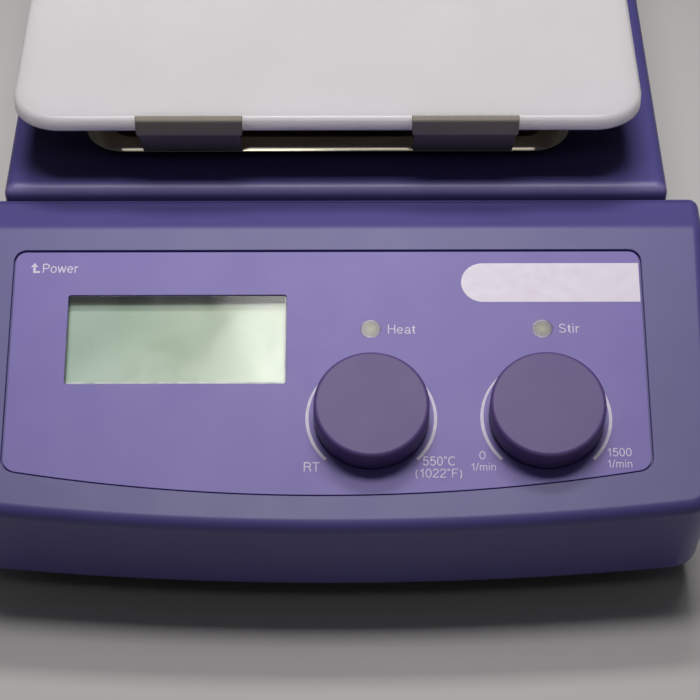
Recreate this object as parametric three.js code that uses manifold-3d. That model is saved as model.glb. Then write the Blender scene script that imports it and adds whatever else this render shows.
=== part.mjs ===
// Hotplate stirrer: a ceramic-topped heater over a magnetic stirring drive.
// Millimetres, +Z up, +X to the user's right, the control console towards -Y.
// The origin is on the bench, under the middle of the overall box.
import * as THREE from 'three';
import { mergeVertices } from 'three/addons/utils/BufferGeometryUtils.js';
import Module from 'manifold-3d';

const wasm = await Module();
wasm.setup();

// ---------------------------------------------------------------- driving dimensions
const GAP = 0.3;                 // between faces that touch
const RIM_Z = 14;                // lower edge of both housings
const LEDGE_Z = 82.5;            // flat ledge behind the sloping face
const BROW_Y = -91.39;           // edge between the ledge and the sloping face
const SLOPE = 21.6 * Math.PI / 180;
const CONSOLE_HW_TOP = 107.5, CONSOLE_HW_RIM = 104.5;
const CONSOLE_BACK_Y = -76.6;
const LIP_ALONG = 95.3;          // sharp front edge, measured down the slope at x = 0
const INNER_X = -2.4;            // the front panel and the plate are centred here, left of the housings' middle
const FRONT_RIM_Y = -169.2;      // front wall's lower edge at x = 0
const BOW_R = 800, FRONT_R = 9, BACK_R = 3.2;
const SKIN = 2.8;                // housing wall
const SLOPE_SKIN = 3.0;

const BODY_HW_TOP = 98.2, BODY_HW_RIM = 96;
const BODY_FRONT_Y = -77.9, BODY_BACK_Y = 176.8;
const DECK_Z = 86.5;
const BODY_R = 18;

const PANEL_HW = 90.3, PANEL_TOP = 8.2, PANEL_LOW = 84.7, PANEL_R = 530;
const WIN = { x0: -74.5, x1: -11.7, a0: 22.25, a1: 50.7 };
const DIALS = { heat: 12.4, stir: 61.5 };
const DIAL_ALONG = 61.5, LAMP_ALONG = 33.4;
const LAMP_R = 2.85;
const KNOB_R = 16.2, KNOB_FACE_R = 16.1, KNOB_TOP = 9.6, KNOB_BASE = 1.3;
const SHAFT_R = 3.0, BUSH_BORE_R = 3.08;

const PLATE = { cx: INNER_X, cy: 15.0, side: 184, r: 14.5, z0: 106.5, z1: 111.2, bevel: 0.9 };
const SHIELD = { hx: 72.7, hy: 81.2, r: 12.5, top: 94.0, roll: 7.1, flange: 1.3, sheet: 1.0 };
const CLIP_X = 40, CLIP_W = 31, CLIP_T = 1.0;

const MOTOR = { x: INNER_X, y: 15.0 };

// ---------------------------------------------------------------- solids
function toSolid(geometry) {
  const g = geometry.clone();
  for (const name of Object.keys(g.attributes)) if (name !== 'position') g.deleteAttribute(name);
  const m = mergeVertices(g, 1e-4);
  return new wasm.Manifold(new wasm.Mesh({
    numProp: 3,
    vertProperties: Float32Array.from(m.attributes.position.array),
    triVerts: Uint32Array.from(m.index.array),
  }));
}
function toGeometry(solid) {
  const mesh = solid.getMesh();
  const g = new THREE.BufferGeometry();
  const n = mesh.numProp;
  const count = mesh.vertProperties.length / n;
  const p = new Float32Array(count * 3);
  for (let i = 0; i < count; i++) for (let k = 0; k < 3; k++) p[i * 3 + k] = mesh.vertProperties[i * n + k];
  g.setAttribute('position', new THREE.BufferAttribute(p, 3));
  g.setIndex(new THREE.BufferAttribute(Uint32Array.from(mesh.triVerts), 1));
  g.computeVertexNormals();
  return g;
}
const place = (g, x, y, z) => { g.translate(x, y, z); return toSolid(g); };
const box = (x0, x1, y0, y1, z0, z1) =>
  place(new THREE.BoxGeometry(x1 - x0, y1 - y0, z1 - z0), (x0 + x1) / 2, (y0 + y1) / 2, (z0 + z1) / 2);
// a turned solid about Z: profile of [radius, height] that starts and ends on the axis or closes on itself
function turned(profile, seg, x = 0, y = 0) {
  const g = new THREE.LatheGeometry(profile.map(([r, h]) => new THREE.Vector2(r, h)), seg);
  g.rotateX(Math.PI / 2);
  g.translate(x, y, 0);
  let s = toSolid(g);
  if (s.volume() < 0) {
    const g2 = new THREE.LatheGeometry(profile.slice().reverse().map(([r, h]) => new THREE.Vector2(r, h)), seg);
    g2.rotateX(Math.PI / 2);
    g2.translate(x, y, 0);
    s = toSolid(g2);
  }
  return s;
}
const rod = (r, z0, z1, seg, x = 0, y = 0) => turned([[0, z0], [r, z0], [r, z1], [0, z1]], seg, x, y);
const ring = (ri, ro, z0, z1, seg, x = 0, y = 0) =>
  turned([[ri, z0], [ro, z0], [ro, z1], [ri, z1], [ri, z0]], seg, x, y);
// a straight prism of a plan outline
function prism(points, z0, z1) {
  const shape = new THREE.Shape(points.map(([x, y]) => new THREE.Vector2(x, y)));
  const g = new THREE.ExtrudeGeometry(shape, { depth: z1 - z0, bevelEnabled: false, steps: 1 });
  g.translate(0, 0, z0);
  return toSolid(g);
}
// a prism of a side view, given as [y, z] points, from x0 to x1
function sidePrism(points, x0, x1) {
  const shape = new THREE.Shape(points.map(([y, z]) => new THREE.Vector2(y, z)));
  const g = new THREE.ExtrudeGeometry(shape, { depth: x1 - x0, bevelEnabled: false, steps: 1 });
  g.applyMatrix4(new THREE.Matrix4().set(0, 0, 1, x0, 1, 0, 0, 0, 0, 1, 0, 0, 0, 0, 0, 1));
  return toSolid(g);
}
// a skin through equal rings of plan points
function loft(rings) {
  const n = rings[0].points.length;
  const pos = [];
  for (const r of rings) for (const [x, y] of r.points) pos.push(x, y, r.z);
  const idx = [];
  for (let k = 0; k + 1 < rings.length; k++) {
    for (let i = 0; i < n; i++) {
      const j = (i + 1) % n;
      const a = k * n + i, b = k * n + j, c = (k + 1) * n + j, d = (k + 1) * n + i;
      idx.push(a, b, c, a, c, d);
    }
  }
  for (let i = 1; i + 1 < n; i++) {
    idx.push(0, i + 1, i);
    const o = (rings.length - 1) * n;
    idx.push(o, o + i, o + i + 1);
  }
  const g = new THREE.BufferGeometry();
  g.setAttribute('position', new THREE.BufferAttribute(new Float32Array(pos), 3));
  g.setIndex(idx);
  return toSolid(g);
}
const arc = (cx, cy, r, a0, a1, n) => Array.from({ length: n + 1 }, (_, i) => {
  const a = a0 + (a1 - a0) * i / n;
  return [cx + r * Math.cos(a), cy + r * Math.sin(a)];
});
const rad = d => d * Math.PI / 180;
function roundRect(x0, x1, y0, y1, r, n = 5) {
  return [
    ...arc(x1 - r, y1 - r, r, 0, rad(90), n),
    ...arc(x0 + r, y1 - r, r, rad(90), rad(180), n),
    ...arc(x0 + r, y0 + r, r, rad(180), rad(270), n),
    ...arc(x1 - r, y0 + r, r, rad(270), rad(360), n),
  ];
}
// plan outline with a front edge bowed towards -Y
function bowed(hw, back, front, bow, rf, rb, n = 4, nb = 10) {
  const cy = front + bow;
  const fx = hw - rf;
  const fy = cy - Math.sqrt((bow - rf) ** 2 - fx ** 2);
  const t = Math.atan2(fy - cy, fx);
  return [
    ...arc(fx, fy, rf, t, 0, n),
    ...arc(hw - rb, back - rb, rb, 0, rad(90), n),
    ...arc(-hw + rb, back - rb, rb, rad(90), rad(180), n),
    ...arc(-fx, fy, rf, rad(180), rad(180) - t, n),
    ...arc(0, cy, bow, rad(180) - t, rad(360) + t, nb).slice(1, -1),
  ];
}
const union = (...s) => s.reduce((a, b) => a.add(b));
const cut = (a, ...s) => s.reduce((x, b) => x.subtract(b), a);

// ---------------------------------------------------------------- scene graph
const hotplate = new THREE.Group();
const root = new THREE.Group();
hotplate.add(root);
// the sloping face's own axes: x across, y up the slope, z out of the face
const face = new THREE.Group();
face.position.set(INNER_X, BROW_Y, LEDGE_Z);
face.rotation.x = SLOPE;
hotplate.add(face);
face.updateMatrixWorld(true);
const FACE_M = new THREE.Matrix4().makeRotationX(SLOPE).setPosition(INNER_X, BROW_Y, LEDGE_Z);
const fromFace = solid => solid.transform(Array.from(FACE_M.elements));

function node(parent, name, solid, color, roughness, metalness = 0) {
  const mesh = new THREE.Mesh(toGeometry(solid),
    new THREE.MeshStandardMaterial({ color, roughness, metalness }));
  mesh.name = name;
  parent.add(mesh);
  return mesh;
}
const BLUE = 0x4a4880, PANEL_BLUE = 0x6b65a0, KNOB_BLUE = 0x4b4768, STEEL = 0xb9b5ab, DARK = 0x26262a;

// ---------------------------------------------------------------- console housing
const lipY = BROW_Y - LIP_ALONG * Math.cos(SLOPE);
const lipZ = LEDGE_Z - LIP_ALONG * Math.sin(SLOPE);
const frontY = z => FRONT_RIM_Y + (lipY - FRONT_RIM_Y) * (z - RIM_Z) / (lipZ - RIM_Z);
const consoleHW = z => CONSOLE_HW_RIM + (CONSOLE_HW_TOP - CONSOLE_HW_RIM) * (z - RIM_Z) / (LEDGE_Z - RIM_Z);
function consoleSkin(z0, z1, inset) {
  const at = z => ({ z, points: bowed(consoleHW(z) - inset, CONSOLE_BACK_Y - inset, frontY(z) + inset,
    BOW_R - inset, FRONT_R - inset, BACK_R - inset) });
  return loft([at(z0), at(z1)]);
}
// side view under the slope and the ledge, moved in by (d, e)
function consoleSide(d, e) {
  const c = Math.cos(SLOPE), s = Math.sin(SLOPE);
  // the slope line moved inwards by d meets the ledge line moved down by e
  const p = [BROW_Y + d * s, LEDGE_Z - d * c];
  const t = (LEDGE_Z - e - p[1]) / s;
  const brow = [p[0] + t * c, LEDGE_Z - e];
  return [brow, [brow[0] - 130 * c, brow[1] - 130 * s], [brow[0] - 130 * c, -5], [-60, -5], [-60, LEDGE_Z - e]];
}
function panelOutline(grow) {
  const hw = PANEL_HW + grow, top = -PANEL_TOP + grow, rt = 3 + grow, rb = 4 + grow;
  const R = PANEL_R + grow, cy = -PANEL_LOW + PANEL_R;
  const fx = hw - rb, fy = cy - Math.sqrt((R - rb) ** 2 - fx ** 2);
  const t = Math.atan2(fy - cy, fx);
  return [
    ...arc(fx, fy, rb, t, 0, 4),
    ...arc(hw - rt, top - rt, rt, 0, rad(90), 4),
    ...arc(-hw + rt, top - rt, rt, rad(90), rad(180), 4),
    ...arc(-fx, fy, rb, rad(180), rad(180) - t, 4),
    ...arc(0, cy, R, rad(180) - t, rad(360) + t, 14).slice(1, -1),
  ];
}
{
  const outer = consoleSkin(RIM_Z, 92, 0).intersect(sidePrism(consoleSide(0, 0), -130, 130));
  const inner = consoleSkin(RIM_Z - 4, 92, SKIN).intersect(sidePrism(consoleSide(SLOPE_SKIN, SKIN), -130, 130));
  let s = cut(outer, inner,
    // the rear housing's front wall stands in this notch
    box(-BODY_HW_TOP - GAP, BODY_HW_TOP + GAP, BODY_FRONT_Y - GAP, -60, -5, 100),
    // window through the back for the tray and the wiring
    box(-93, 93, -90, -60, -5, 75),
    // seat of the front panel
    fromFace(prism(panelOutline(0.5), -1.3, 20)),
    // window for the display, holes for the lamps and the dial bushes
    fromFace(box(WIN.x0 - 2, WIN.x1 + 2, -WIN.a1 - 2, -WIN.a0 + 2, -12, 5)));
  for (const x of Object.values(DIALS)) {
    s = cut(s, fromFace(rod(4.4, -12, 5, 16, x, -DIAL_ALONG)), fromFace(rod(LAMP_R + GAP, -12, 5, 16, x, -LAMP_ALONG)));
  }
  node(root, 'console_housing', s, BLUE, 0.45);
}

// ---------------------------------------------------------------- front panel
{
  let s = cut(prism(panelOutline(0), -1.0, -0.2),
    prism(roundRect(WIN.x0, WIN.x1, -WIN.a1, -WIN.a0, 0.8, 2), -3, 3));
  for (const x of Object.values(DIALS)) {
    s = cut(s, rod(6.2, -3, 3, 20, x, -DIAL_ALONG), rod(LAMP_R + GAP, -3, 3, 16, x, -LAMP_ALONG));
  }
  node(face, 'panel_overlay', s, PANEL_BLUE, 0.5);
  node(face, 'display_window', prism(roundRect(WIN.x0 - 1.6, WIN.x1 + 1.6, -WIN.a1 - 1.6, -WIN.a0 + 1.6, 1, 2), -3.0, -1.3), 0xa5b7a0, 0.15);
  node(face, 'lcd_module', box(WIN.x0 - 4.9, WIN.x1 + 4.5, -WIN.a1 - 5.9, -WIN.a0 + 5.1, -9.0, -3.3), 0x6f7d6c, 0.4);
  node(face, 'control_board', box(-86, 86, -78, -12, -14.1, -12.5), 0x1f5a3a, 0.5);
  for (const [name, x] of Object.entries(DIALS)) {
    node(face, `${name}_lamp_lens`, turned([[0, -3.4], [LAMP_R, -3.4], [LAMP_R, -0.2], [0, -0.2]], 20, x, -LAMP_ALONG), 0x9d9b96, 0.3);
    const body = union(box(x - 6.5, x + 6.5, -DIAL_ALONG - 6.5, -DIAL_ALONG + 6.5, -12.2, -5.5),
      rod(3.95, -6, 0.2, 20, x, -DIAL_ALONG));
    node(face, `${name}_encoder`, cut(body, rod(BUSH_BORE_R, -13, 2, 24, x, -DIAL_ALONG)), 0x8a8a88, 0.4, 0.6);
    node(face, `${name}_plunger`, rod(2.9, -11.2, -10.2, 16, x, -DIAL_ALONG), 0xd8d4c8, 0.5);
    node(face, `${name}_shaft`, rod(SHAFT_R, -9.9, 8.7, 24, x, -DIAL_ALONG), STEEL, 0.3, 0.9);
    node(face, `${name}_knob`, turned([[0, KNOB_TOP], [KNOB_FACE_R - 0.9, KNOB_TOP], [KNOB_FACE_R, KNOB_TOP - 0.8],
      [KNOB_R, KNOB_BASE], [14.2, KNOB_BASE], [13.4, 8.2], [6, 8.2], [6, KNOB_BASE], [3.3, KNOB_BASE], [3.3, 9.0], [0, 9.0]],
      40, x, -DIAL_ALONG), KNOB_BLUE, 0.5);
  }
}

// ---------------------------------------------------------------- rear housing
const REAR = {
  switch: { x: -72, z: 52 }, inlet: { x: -38, z: 52 }, serial: { x: 22, z: 52 }, sensor: { x: 62, z: 52 },
};
const ROD = { x: 72, y: 150 };
{
  const at = (z, inset) => {
    const hw = BODY_HW_RIM + (BODY_HW_TOP - BODY_HW_RIM) * (z - RIM_Z) / (DECK_Z - RIM_Z) - inset;
    return { z, points: [
      ...arc(hw - BODY_R + inset, BODY_BACK_Y - BODY_R, BODY_R - inset, 0, rad(90), 5),
      ...arc(-hw + BODY_R - inset, BODY_BACK_Y - BODY_R, BODY_R - inset, rad(90), rad(180), 5),
      [-hw, BODY_FRONT_Y + inset], [hw, BODY_FRONT_Y + inset],
    ] };
  };
  const outer = loft([at(RIM_Z, 0), at(DECK_Z, 0)]);
  const inner = loft([at(RIM_Z - 4, SKIN), at(DECK_Z - SKIN, SKIN)]);
  const wall = (x0, x1, z0, z1) => box(x0, x1, BODY_BACK_Y - 8, BODY_BACK_Y + 8, z0, z1);
  let s = cut(outer, inner,
    box(-92.7, 92.7, -90, -60, -5, 75),
    rod(42, DECK_Z - 12, DECK_Z + 5, 36, PLATE.cx, PLATE.cy),
    rod(8.4, DECK_Z - 12, DECK_Z + 5, 20, ROD.x, ROD.y),
    wall(REAR.switch.x - 9.3, REAR.switch.x + 9.3, REAR.switch.z - 13.3, REAR.switch.z + 13.3),
    wall(REAR.inlet.x - 14.3, REAR.inlet.x + 14.3, REAR.inlet.z - 18.3, REAR.inlet.z + 14.3),
    wall(REAR.serial.x - 9.3, REAR.serial.x + 9.3, REAR.serial.z - 5.1, REAR.serial.z + 5.1));
  const hole = new THREE.CylinderGeometry(8.6, 8.6, 20, 20);
  hole.translate(REAR.sensor.x, BODY_BACK_Y, REAR.sensor.z);
  s = cut(s, toSolid(hole));
  for (let i = 0; i < 7; i++) s = cut(s, wall(-9.2 + i * 4 - 1, -9.2 + i * 4 + 1, 24, 38));
  node(root, 'rear_housing', s, BLUE, 0.45);
}

// ---------------------------------------------------------------- bottom tray and feet
const TRAY_Z = 8;
const FEET = { front_left: [-80, -142], front_right: [80, -142], rear_left: [-76, 150], rear_right: [76, 150] };
{
  const shell = (z0, z1, i) => union(
    prism(bowed(99.2 - i, -84 - i, -163.5 + i, BOW_R, 8 - i, 3), z0, z1),
    prism([...arc(91.7 - i - 14, 172.4 - i - 14, 14, 0, rad(90), 4), ...arc(-91.7 + i + 14, 172.4 - i - 14, 14, rad(90), rad(180), 4),
      [-91.7 + i, -100 + i], [91.7 - i, -100 + i]], z0, z1));
  let s = cut(shell(TRAY_Z, 20, 0), shell(TRAY_Z + 1.6, 30, 1.6));
  for (let i = 0; i < 9; i++) {
    s = cut(s, box(-44 + i * 11 - 2.5, -44 + i * 11 + 2.5, 60, 100, 0, 12));
  }
  node(root, 'bottom_tray', s, 0x2b2b30, 0.6, 0.3);
  for (const [k, [x, y]] of Object.entries(FEET)) {
    node(root, `foot_${k}`, turned([[0, 2.2], [4, 2.2], [4, 0], [9, 0], [10.5, 1.2], [11, TRAY_Z - GAP], [0, TRAY_Z - GAP]], 24, x, y), 0x1c1c1e, 0.85);
  }
}

// ---------------------------------------------------------------- heater and plate
{
  const h = PLATE.side / 2, { cx, cy } = PLATE;
  // its upper edge is bevelled all round, and the clips grip that bevel
  const c = PLATE.bevel;
  node(root, 'glass_plate', loft([[0, PLATE.z0], [0, PLATE.z1 - c], [c, PLATE.z1]].map(([i, z]) =>
    ({ z, points: roundRect(cx - h + i, cx + h - i, cy - h + i, cy + h - i, PLATE.r - i, 7) }))), 0xe9e7ea, 0.12);
  // a dished sheet: flat on top, rolled down to 45 degrees, then a short straight flange; [inset, z] from the tip
  const { hx, hy, roll, flange, sheet } = SHIELD, centre = (roll + flange) * Math.SQRT1_2, base = SHIELD.top - roll;
  const skin = t => [[centre - (roll - t + flange) * Math.SQRT1_2, base + (roll - t - flange) * Math.SQRT1_2],
    ...[45, 67.5, 90].map(a => [centre - (roll - t) * Math.cos(rad(a)), base + (roll - t) * Math.sin(rad(a))])];
  const dish = rings => loft(rings.map(([i, z]) => ({ z, points: roundRect(cx - hx + i, cx + hx - i, cy - hy + i, cy + hy - i, SHIELD.r - i, 6) })));
  const under = skin(sheet), tip = under[0];
  node(root, 'heat_shield', cut(dish([tip, ...skin(0)]), dish([[tip[0] + 0.15, tip[1] - 1], [tip[0] + 0.15, tip[1] + 0.15], ...under.slice(1)])), STEEL, 0.2, 0.95);
  const pan = (i, z0, z1) => prism(roundRect(cx - 65 + i, cx + 65 - i, cy - 73.5 + i, cy + 73.5 - i, 8 - i, 4), z0, z1);
  node(root, 'heater_pan', cut(pan(0, 94.3, 106.2), pan(1, 95.3, 120)), 0x8f8b85, 0.3, 0.9);
  node(root, 'insulation_block', prism(roundRect(cx - 63.6, cx + 63.6, cy - 72.1, cy + 72.1, 6.6, 4), 95.6, 101.6), 0xd9d3c6, 0.95);
  // flat ribbon element wound in a spiral
  const turns = 3.25, r0 = 14, pitch = 14, steps = 84, w = 1.6, pts = [];
  for (let i = 0; i <= steps; i++) {
    const a = i / steps * turns * 2 * Math.PI, r = r0 + pitch * a / (2 * Math.PI);
    for (const [dr, z] of [[-w, 101.9], [w, 101.9], [w, 104.4], [-w, 104.4]]) {
      pts.push(cx + (r + dr) * Math.cos(a), cy + (r + dr) * Math.sin(a), z);
    }
  }
  const idx = [];
  for (let i = 0; i < steps; i++) for (let k = 0; k < 4; k++) {
    const a = i * 4 + k, b = i * 4 + (k + 1) % 4, c = b + 4, d = a + 4;
    idx.push(a, c, b, a, d, c);
  }
  idx.push(0, 1, 2, 0, 2, 3);
  const e = steps * 4;
  idx.push(e, e + 2, e + 1, e, e + 3, e + 2);
  const g = new THREE.BufferGeometry();
  g.setAttribute('position', new THREE.BufferAttribute(new Float32Array(pts), 3));
  g.setIndex(idx);
  let coil = toSolid(g);
  if (coil.volume() < 0) { g.setIndex(idx.slice().reverse()); coil = toSolid(g); }
  node(root, 'heating_element', coil, 0x6b5a4c, 0.6, 0.6);
  const bead = new THREE.CylinderGeometry(2, 2, 16, 14);
  bead.rotateZ(Math.PI / 2);
  bead.translate(cx, cy, 104.0);
  node(root, 'plate_sensor', toSolid(bead), STEEL, 0.3, 0.9);
  const sx = 56, sy = 62;
  for (const [k, a, b] of [['front_left', -1, -1], ['front_right', 1, -1], ['rear_left', -1, 1], ['rear_right', 1, 1]]) {
    node(root, `shield_post_${k}`, rod(5, DECK_Z + GAP, SHIELD.top - 1 - GAP, 16, cx + a * sx, cy + b * sy), 0xa9a79f, 0.4, 0.8);
  }
}
// ---------------------------------------------------------------- plate clips
{
  // the strip's centre line in side view, for a clip at the front edge
  const T = CLIP_T, f = PLATE.cy - PLATE.side / 2;     // plate's front edge
  const lipFront = PLATE.cy - SHIELD.hy;
  // its upper end leans over the plate's bevel and stops short of the flat top; its lower end stands on the shield's flange
  const k = (GAP + T / 2) * Math.SQRT1_2, low = PLATE.z1 - PLATE.bevel;
  const line = [[f + 0.4, low + 0.4 + 2 * k], [f - GAP - T / 2, low - GAP - T / 2 + 2 * k], [f - GAP - T / 2, PLATE.z0 - 0.35],
    [lipFront + 0.2, 91.75]];
  const side = (pts, d) => pts.map((p, i) => {
    const a = pts[Math.max(0, i - 1)], b = pts[Math.min(pts.length - 1, i + 1)];
    const u = [p[0] - a[0], p[1] - a[1]], v = [b[0] - p[0], b[1] - p[1]];
    const nu = n => { const l = Math.hypot(...n); return l ? [-n[1] / l, n[0] / l] : null; };
    const n1 = nu(u) || nu(v), n2 = nu(v) || nu(u);
    const m = [n1[0] + n2[0], n1[1] + n2[1]], k = 2 / (m[0] ** 2 + m[1] ** 2);
    return [p[0] + m[0] * k * d, p[1] + m[1] * k * d];
  });
  const outline = [...side(line, T / 2), ...side(line, -T / 2).reverse()];
  const mirror = outline.map(([y, z]) => [2 * PLATE.cy - y, z]).reverse();
  for (const [k, pts] of [['front', outline], ['rear', mirror]]) {
    for (const [m, x] of [['left', PLATE.cx - CLIP_X], ['right', PLATE.cx + CLIP_X]]) {
      let s = sidePrism(pts, x - CLIP_W / 2, x + CLIP_W / 2);
      if (s.volume() < 0) s = sidePrism(pts.slice().reverse(), x - CLIP_W / 2, x + CLIP_W / 2);
      node(root, `plate_clip_${k}_${m}`, s, 0x4a4648, 0.4, 0.7);
    }
  }
}

// ---------------------------------------------------------------- stirring drive
{
  const { x, y } = MOTOR;
  let bracket = union(box(x - 60, x + 60, y - 28, y + 28, 60, 62.5),
    box(x - 60, x - 57.5, y - 28, y + 28, 60, 83.4), box(x + 57.5, x + 60, y - 28, y + 28, 60, 83.4),
    box(x - 74, x - 57.5, y - 28, y + 28, 81, 83.4), box(x + 57.5, x + 74, y - 28, y + 28, 81, 83.4),
    ring(8.6, 12, 55, 61, 24, x, y));
  bracket = cut(bracket, rod(8.6, 50, 70, 24, x, y));
  node(root, 'motor_bracket', bracket, 0x9a9a98, 0.4, 0.8);
  node(root, 'motor_can', turned([[0, 28], [31, 28], [32, 29], [32, 59.7], [30, 59.7], [30, 30.5], [11, 30.5], [11, 35],
    [8.6, 35], [8.6, 30.5], [0, 30.5]], 28, x, y), 0x7c7c7c, 0.4, 0.8);
  node(root, 'stator_core', ring(16.5, 29.6, 36, 52, 28, x, y), 0x8a4a2a, 0.5, 0.6);
  node(root, 'bearing_lower', ring(BUSH_BORE_R, 8.3, 30.8, 35, 24, x, y), STEEL, 0.3, 0.9);
  node(root, 'bearing_upper', ring(BUSH_BORE_R, 8.3, 56, 61, 24, x, y), STEEL, 0.3, 0.9);
  node(root, 'motor_shaft', rod(SHAFT_R, 31, 76, 24, x, y), STEEL, 0.3, 0.9);
  node(root, 'motor_rotor', ring(SHAFT_R + GAP, 15.5, 37, 51, 28, x, y), 0x4c4c50, 0.4, 0.6);
  let holder = union(prism([...arc(x + 30, y, 9, rad(-90), rad(90), 8), ...arc(x - 30, y, 9, rad(90), rad(270), 8)], 72, 80),
    rod(9, 66, 76, 24, x, y));
  holder = cut(holder, rod(SHAFT_R + GAP, 60, 76.3, 24, x, y), rod(7.3, 74.7, 90, 20, x - 28, y), rod(7.3, 74.7, 90, 20, x + 28, y));
  node(root, 'magnet_holder', holder, 0xa0a0a4, 0.4, 0.8);
  node(root, 'magnet_a', rod(7, 75, 83.5, 20, x - 28, y), 0x55555a, 0.3, 0.9);
  node(root, 'magnet_b', rod(7, 75, 83.5, 20, x + 28, y), 0x55555a, 0.3, 0.9);
}

// ---------------------------------------------------------------- electronics
{
  node(root, 'power_board', box(-84, 66, 92, 146, 18, 19.6), 0x1f5a3a, 0.5);
  node(root, 'transformer', union(box(8, 52, 100, 138, 19.9, 50), box(14, 46, 94, 143.5, 24, 46)), 0x5a5044, 0.6, 0.3);
  let sink = box(-78, -22, 100, 132, 19.9, 24);
  for (let i = 0; i < 8; i++) sink = sink.add(box(-78 + i * 7.6, -78 + i * 7.6 + 2.4, 100, 132, 22, 46));
  node(root, 'heat_sink', sink, 0x9fa0a2, 0.4, 0.9);
  node(root, 'ribbon_cable', sidePrism([[-130.5, 51.0], [-130.5, 15.5], [87, 15.5], [87, 23.8], [95, 23.8], [95, 19.9], [96.2, 19.9], [96.2, 25], [85.8, 25],
    [85.8, 16.7], [-129.3, 16.7], [-129.3, 51.0]].reverse(), -14, 14), 0xa8a8a8, 0.7);
}

// ---------------------------------------------------------------- rear panel
{
  const out = BODY_BACK_Y + GAP;
  const I = REAR.inlet;
  // keyed cavity, two upper corners cut
  const keyed = (hw, hh, c, y0, y1) => {
    const pts = [[-hw, -hh], [hw, -hh], [hw, hh - c], [hw - c, hh], [-hw + c, hh], [-hw, hh - c]].map(([a, b]) => new THREE.Vector2(a, b));
    const g = new THREE.ExtrudeGeometry(new THREE.Shape(pts), { depth: y1 - y0, bevelEnabled: false });
    g.applyMatrix4(new THREE.Matrix4().set(1, 0, 0, I.x, 0, 0, 1, y0, 0, 1, 0, I.z + 2, 0, 0, 0, 1));
    let s = toSolid(g);
    if (s.volume() < 0) {
      g.setIndex(Array.from({ length: g.attributes.position.count }, (_, i) => i).reverse());
      s = toSolid(g);
    }
    return s;
  };
  let inlet = union(box(I.x - 14, I.x + 14, 150, out + 0.5, I.z - 18, I.z + 14), box(I.x - 17, I.x + 17, out, out + 1.7, I.z - 21, I.z + 17));
  inlet = cut(inlet, keyed(12.2, 8.3, 4.2, 161.5, 190), box(I.x - 12.3, I.x + 12.3, 153, 190, I.z - 16.5, I.z - 8.3));
  const PINS = { earth: [0, 6], line: [-7, 1], neutral: [7, 1] };
  for (const [px, pz] of Object.values(PINS)) inlet = cut(inlet, box(I.x + px - 1.3, I.x + px + 1.3, 140, 165, I.z + pz - 2.3, I.z + pz + 2.3));
  node(root, 'mains_inlet', inlet, 0x1b1b1d, 0.45);
  for (const [k, [px, pz]] of Object.entries(PINS)) {
    node(root, `inlet_pin_${k}`, box(I.x + px - 1, I.x + px + 1, 145, 176, I.z + pz - 2, I.z + pz + 2), 0xc2c0b8, 0.25, 0.95);
  }
  const dz = I.z - 12.4;
  node(root, 'fuse_drawer', cut(union(box(I.x - 11.9, I.x + 11.9, 154, out + 1.2, dz - 3.7, dz + 3.7), box(I.x - 12.6, I.x + 12.6, out + 2.0, out + 2.9, dz - 4.4, dz + 3.9),
    box(I.x - 11.9, I.x + 11.9, out + 1.0, out + 2.4, dz - 3.7, dz + 3.5)),
    box(I.x - 10.6, I.x + 10.6, 156, 163, dz - 2.7, 100)), 0x202022, 0.45);
  const fuse = new THREE.CylinderGeometry(2.3, 2.3, 20, 16);
  fuse.rotateZ(Math.PI / 2);
  fuse.translate(I.x, 159.5, dz - 0.1);
  node(root, 'fuse', toSolid(fuse), 0xd8d8d4, 0.2);

  const W = REAR.switch;
  node(root, 'power_switch_housing', cut(
    union(box(W.x - 9, W.x + 9, 154, out + 0.5, W.z - 13, W.z + 13), box(W.x - 11, W.x + 11, out, out + 1.6, W.z - 15, W.z + 15)),
    box(W.x - 6.8, W.x + 6.8, 164, 190, W.z - 10.7, W.z + 10.7)), 0x1b1b1d, 0.45);
  // rocker, drawn at its middle position, then tipped by 11 degrees with its lower half in
  const PY = 172.7, t = rad(-11);
  const rk = [[168.7, -3.5], [170.9, -8.2], [178.4, -9], [176.5, 0], [178.4, 9], [170.9, 8.2], [168.7, 3.5]].map(([yy, zz]) => {
    const a = yy - PY, b = zz;
    return [PY + a * Math.cos(t) - b * Math.sin(t), W.z + a * Math.sin(t) + b * Math.cos(t)];
  });
  let rocker = sidePrism(rk, W.x - 6.3, W.x + 6.3);
  if (rocker.volume() < 0) rocker = sidePrism(rk.slice().reverse(), W.x - 6.3, W.x + 6.3);
  node(root, 'power_rocker', rocker, 0x161618, 0.4);

  const P = REAR.serial;
  const dshape = (hw, hh, k, y0, y1) => {
    const pts = [[-hw, hh], [-hw + k, -hh], [hw - k, -hh], [hw, hh]].map(([a, b]) => new THREE.Vector2(a, b));
    const g = new THREE.ExtrudeGeometry(new THREE.Shape(pts), { depth: y1 - y0, bevelEnabled: false });
    g.applyMatrix4(new THREE.Matrix4().set(1, 0, 0, P.x, 0, 0, 1, y0, 0, 1, 0, P.z, 0, 0, 0, 1));
    let s = toSolid(g);
    if (s.volume() < 0) {
      g.setIndex(Array.from({ length: g.attributes.position.count }, (_, i) => i).reverse());
      s = toSolid(g);
    }
    return s;
  };
  node(root, 'serial_port', union(box(P.x - 15.4, P.x + 15.4, 171.6, 173.4, P.z - 6.2, P.z + 6.2), dshape(8.9, 4.6, 1.2, 173, 179.4),
    box(P.x - 9.5, P.x + 9.5, 160, 172, P.z - 5.5, P.z + 5.5)), 0xb0aea6, 0.35, 0.8);
  const S = REAR.sensor;
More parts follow.
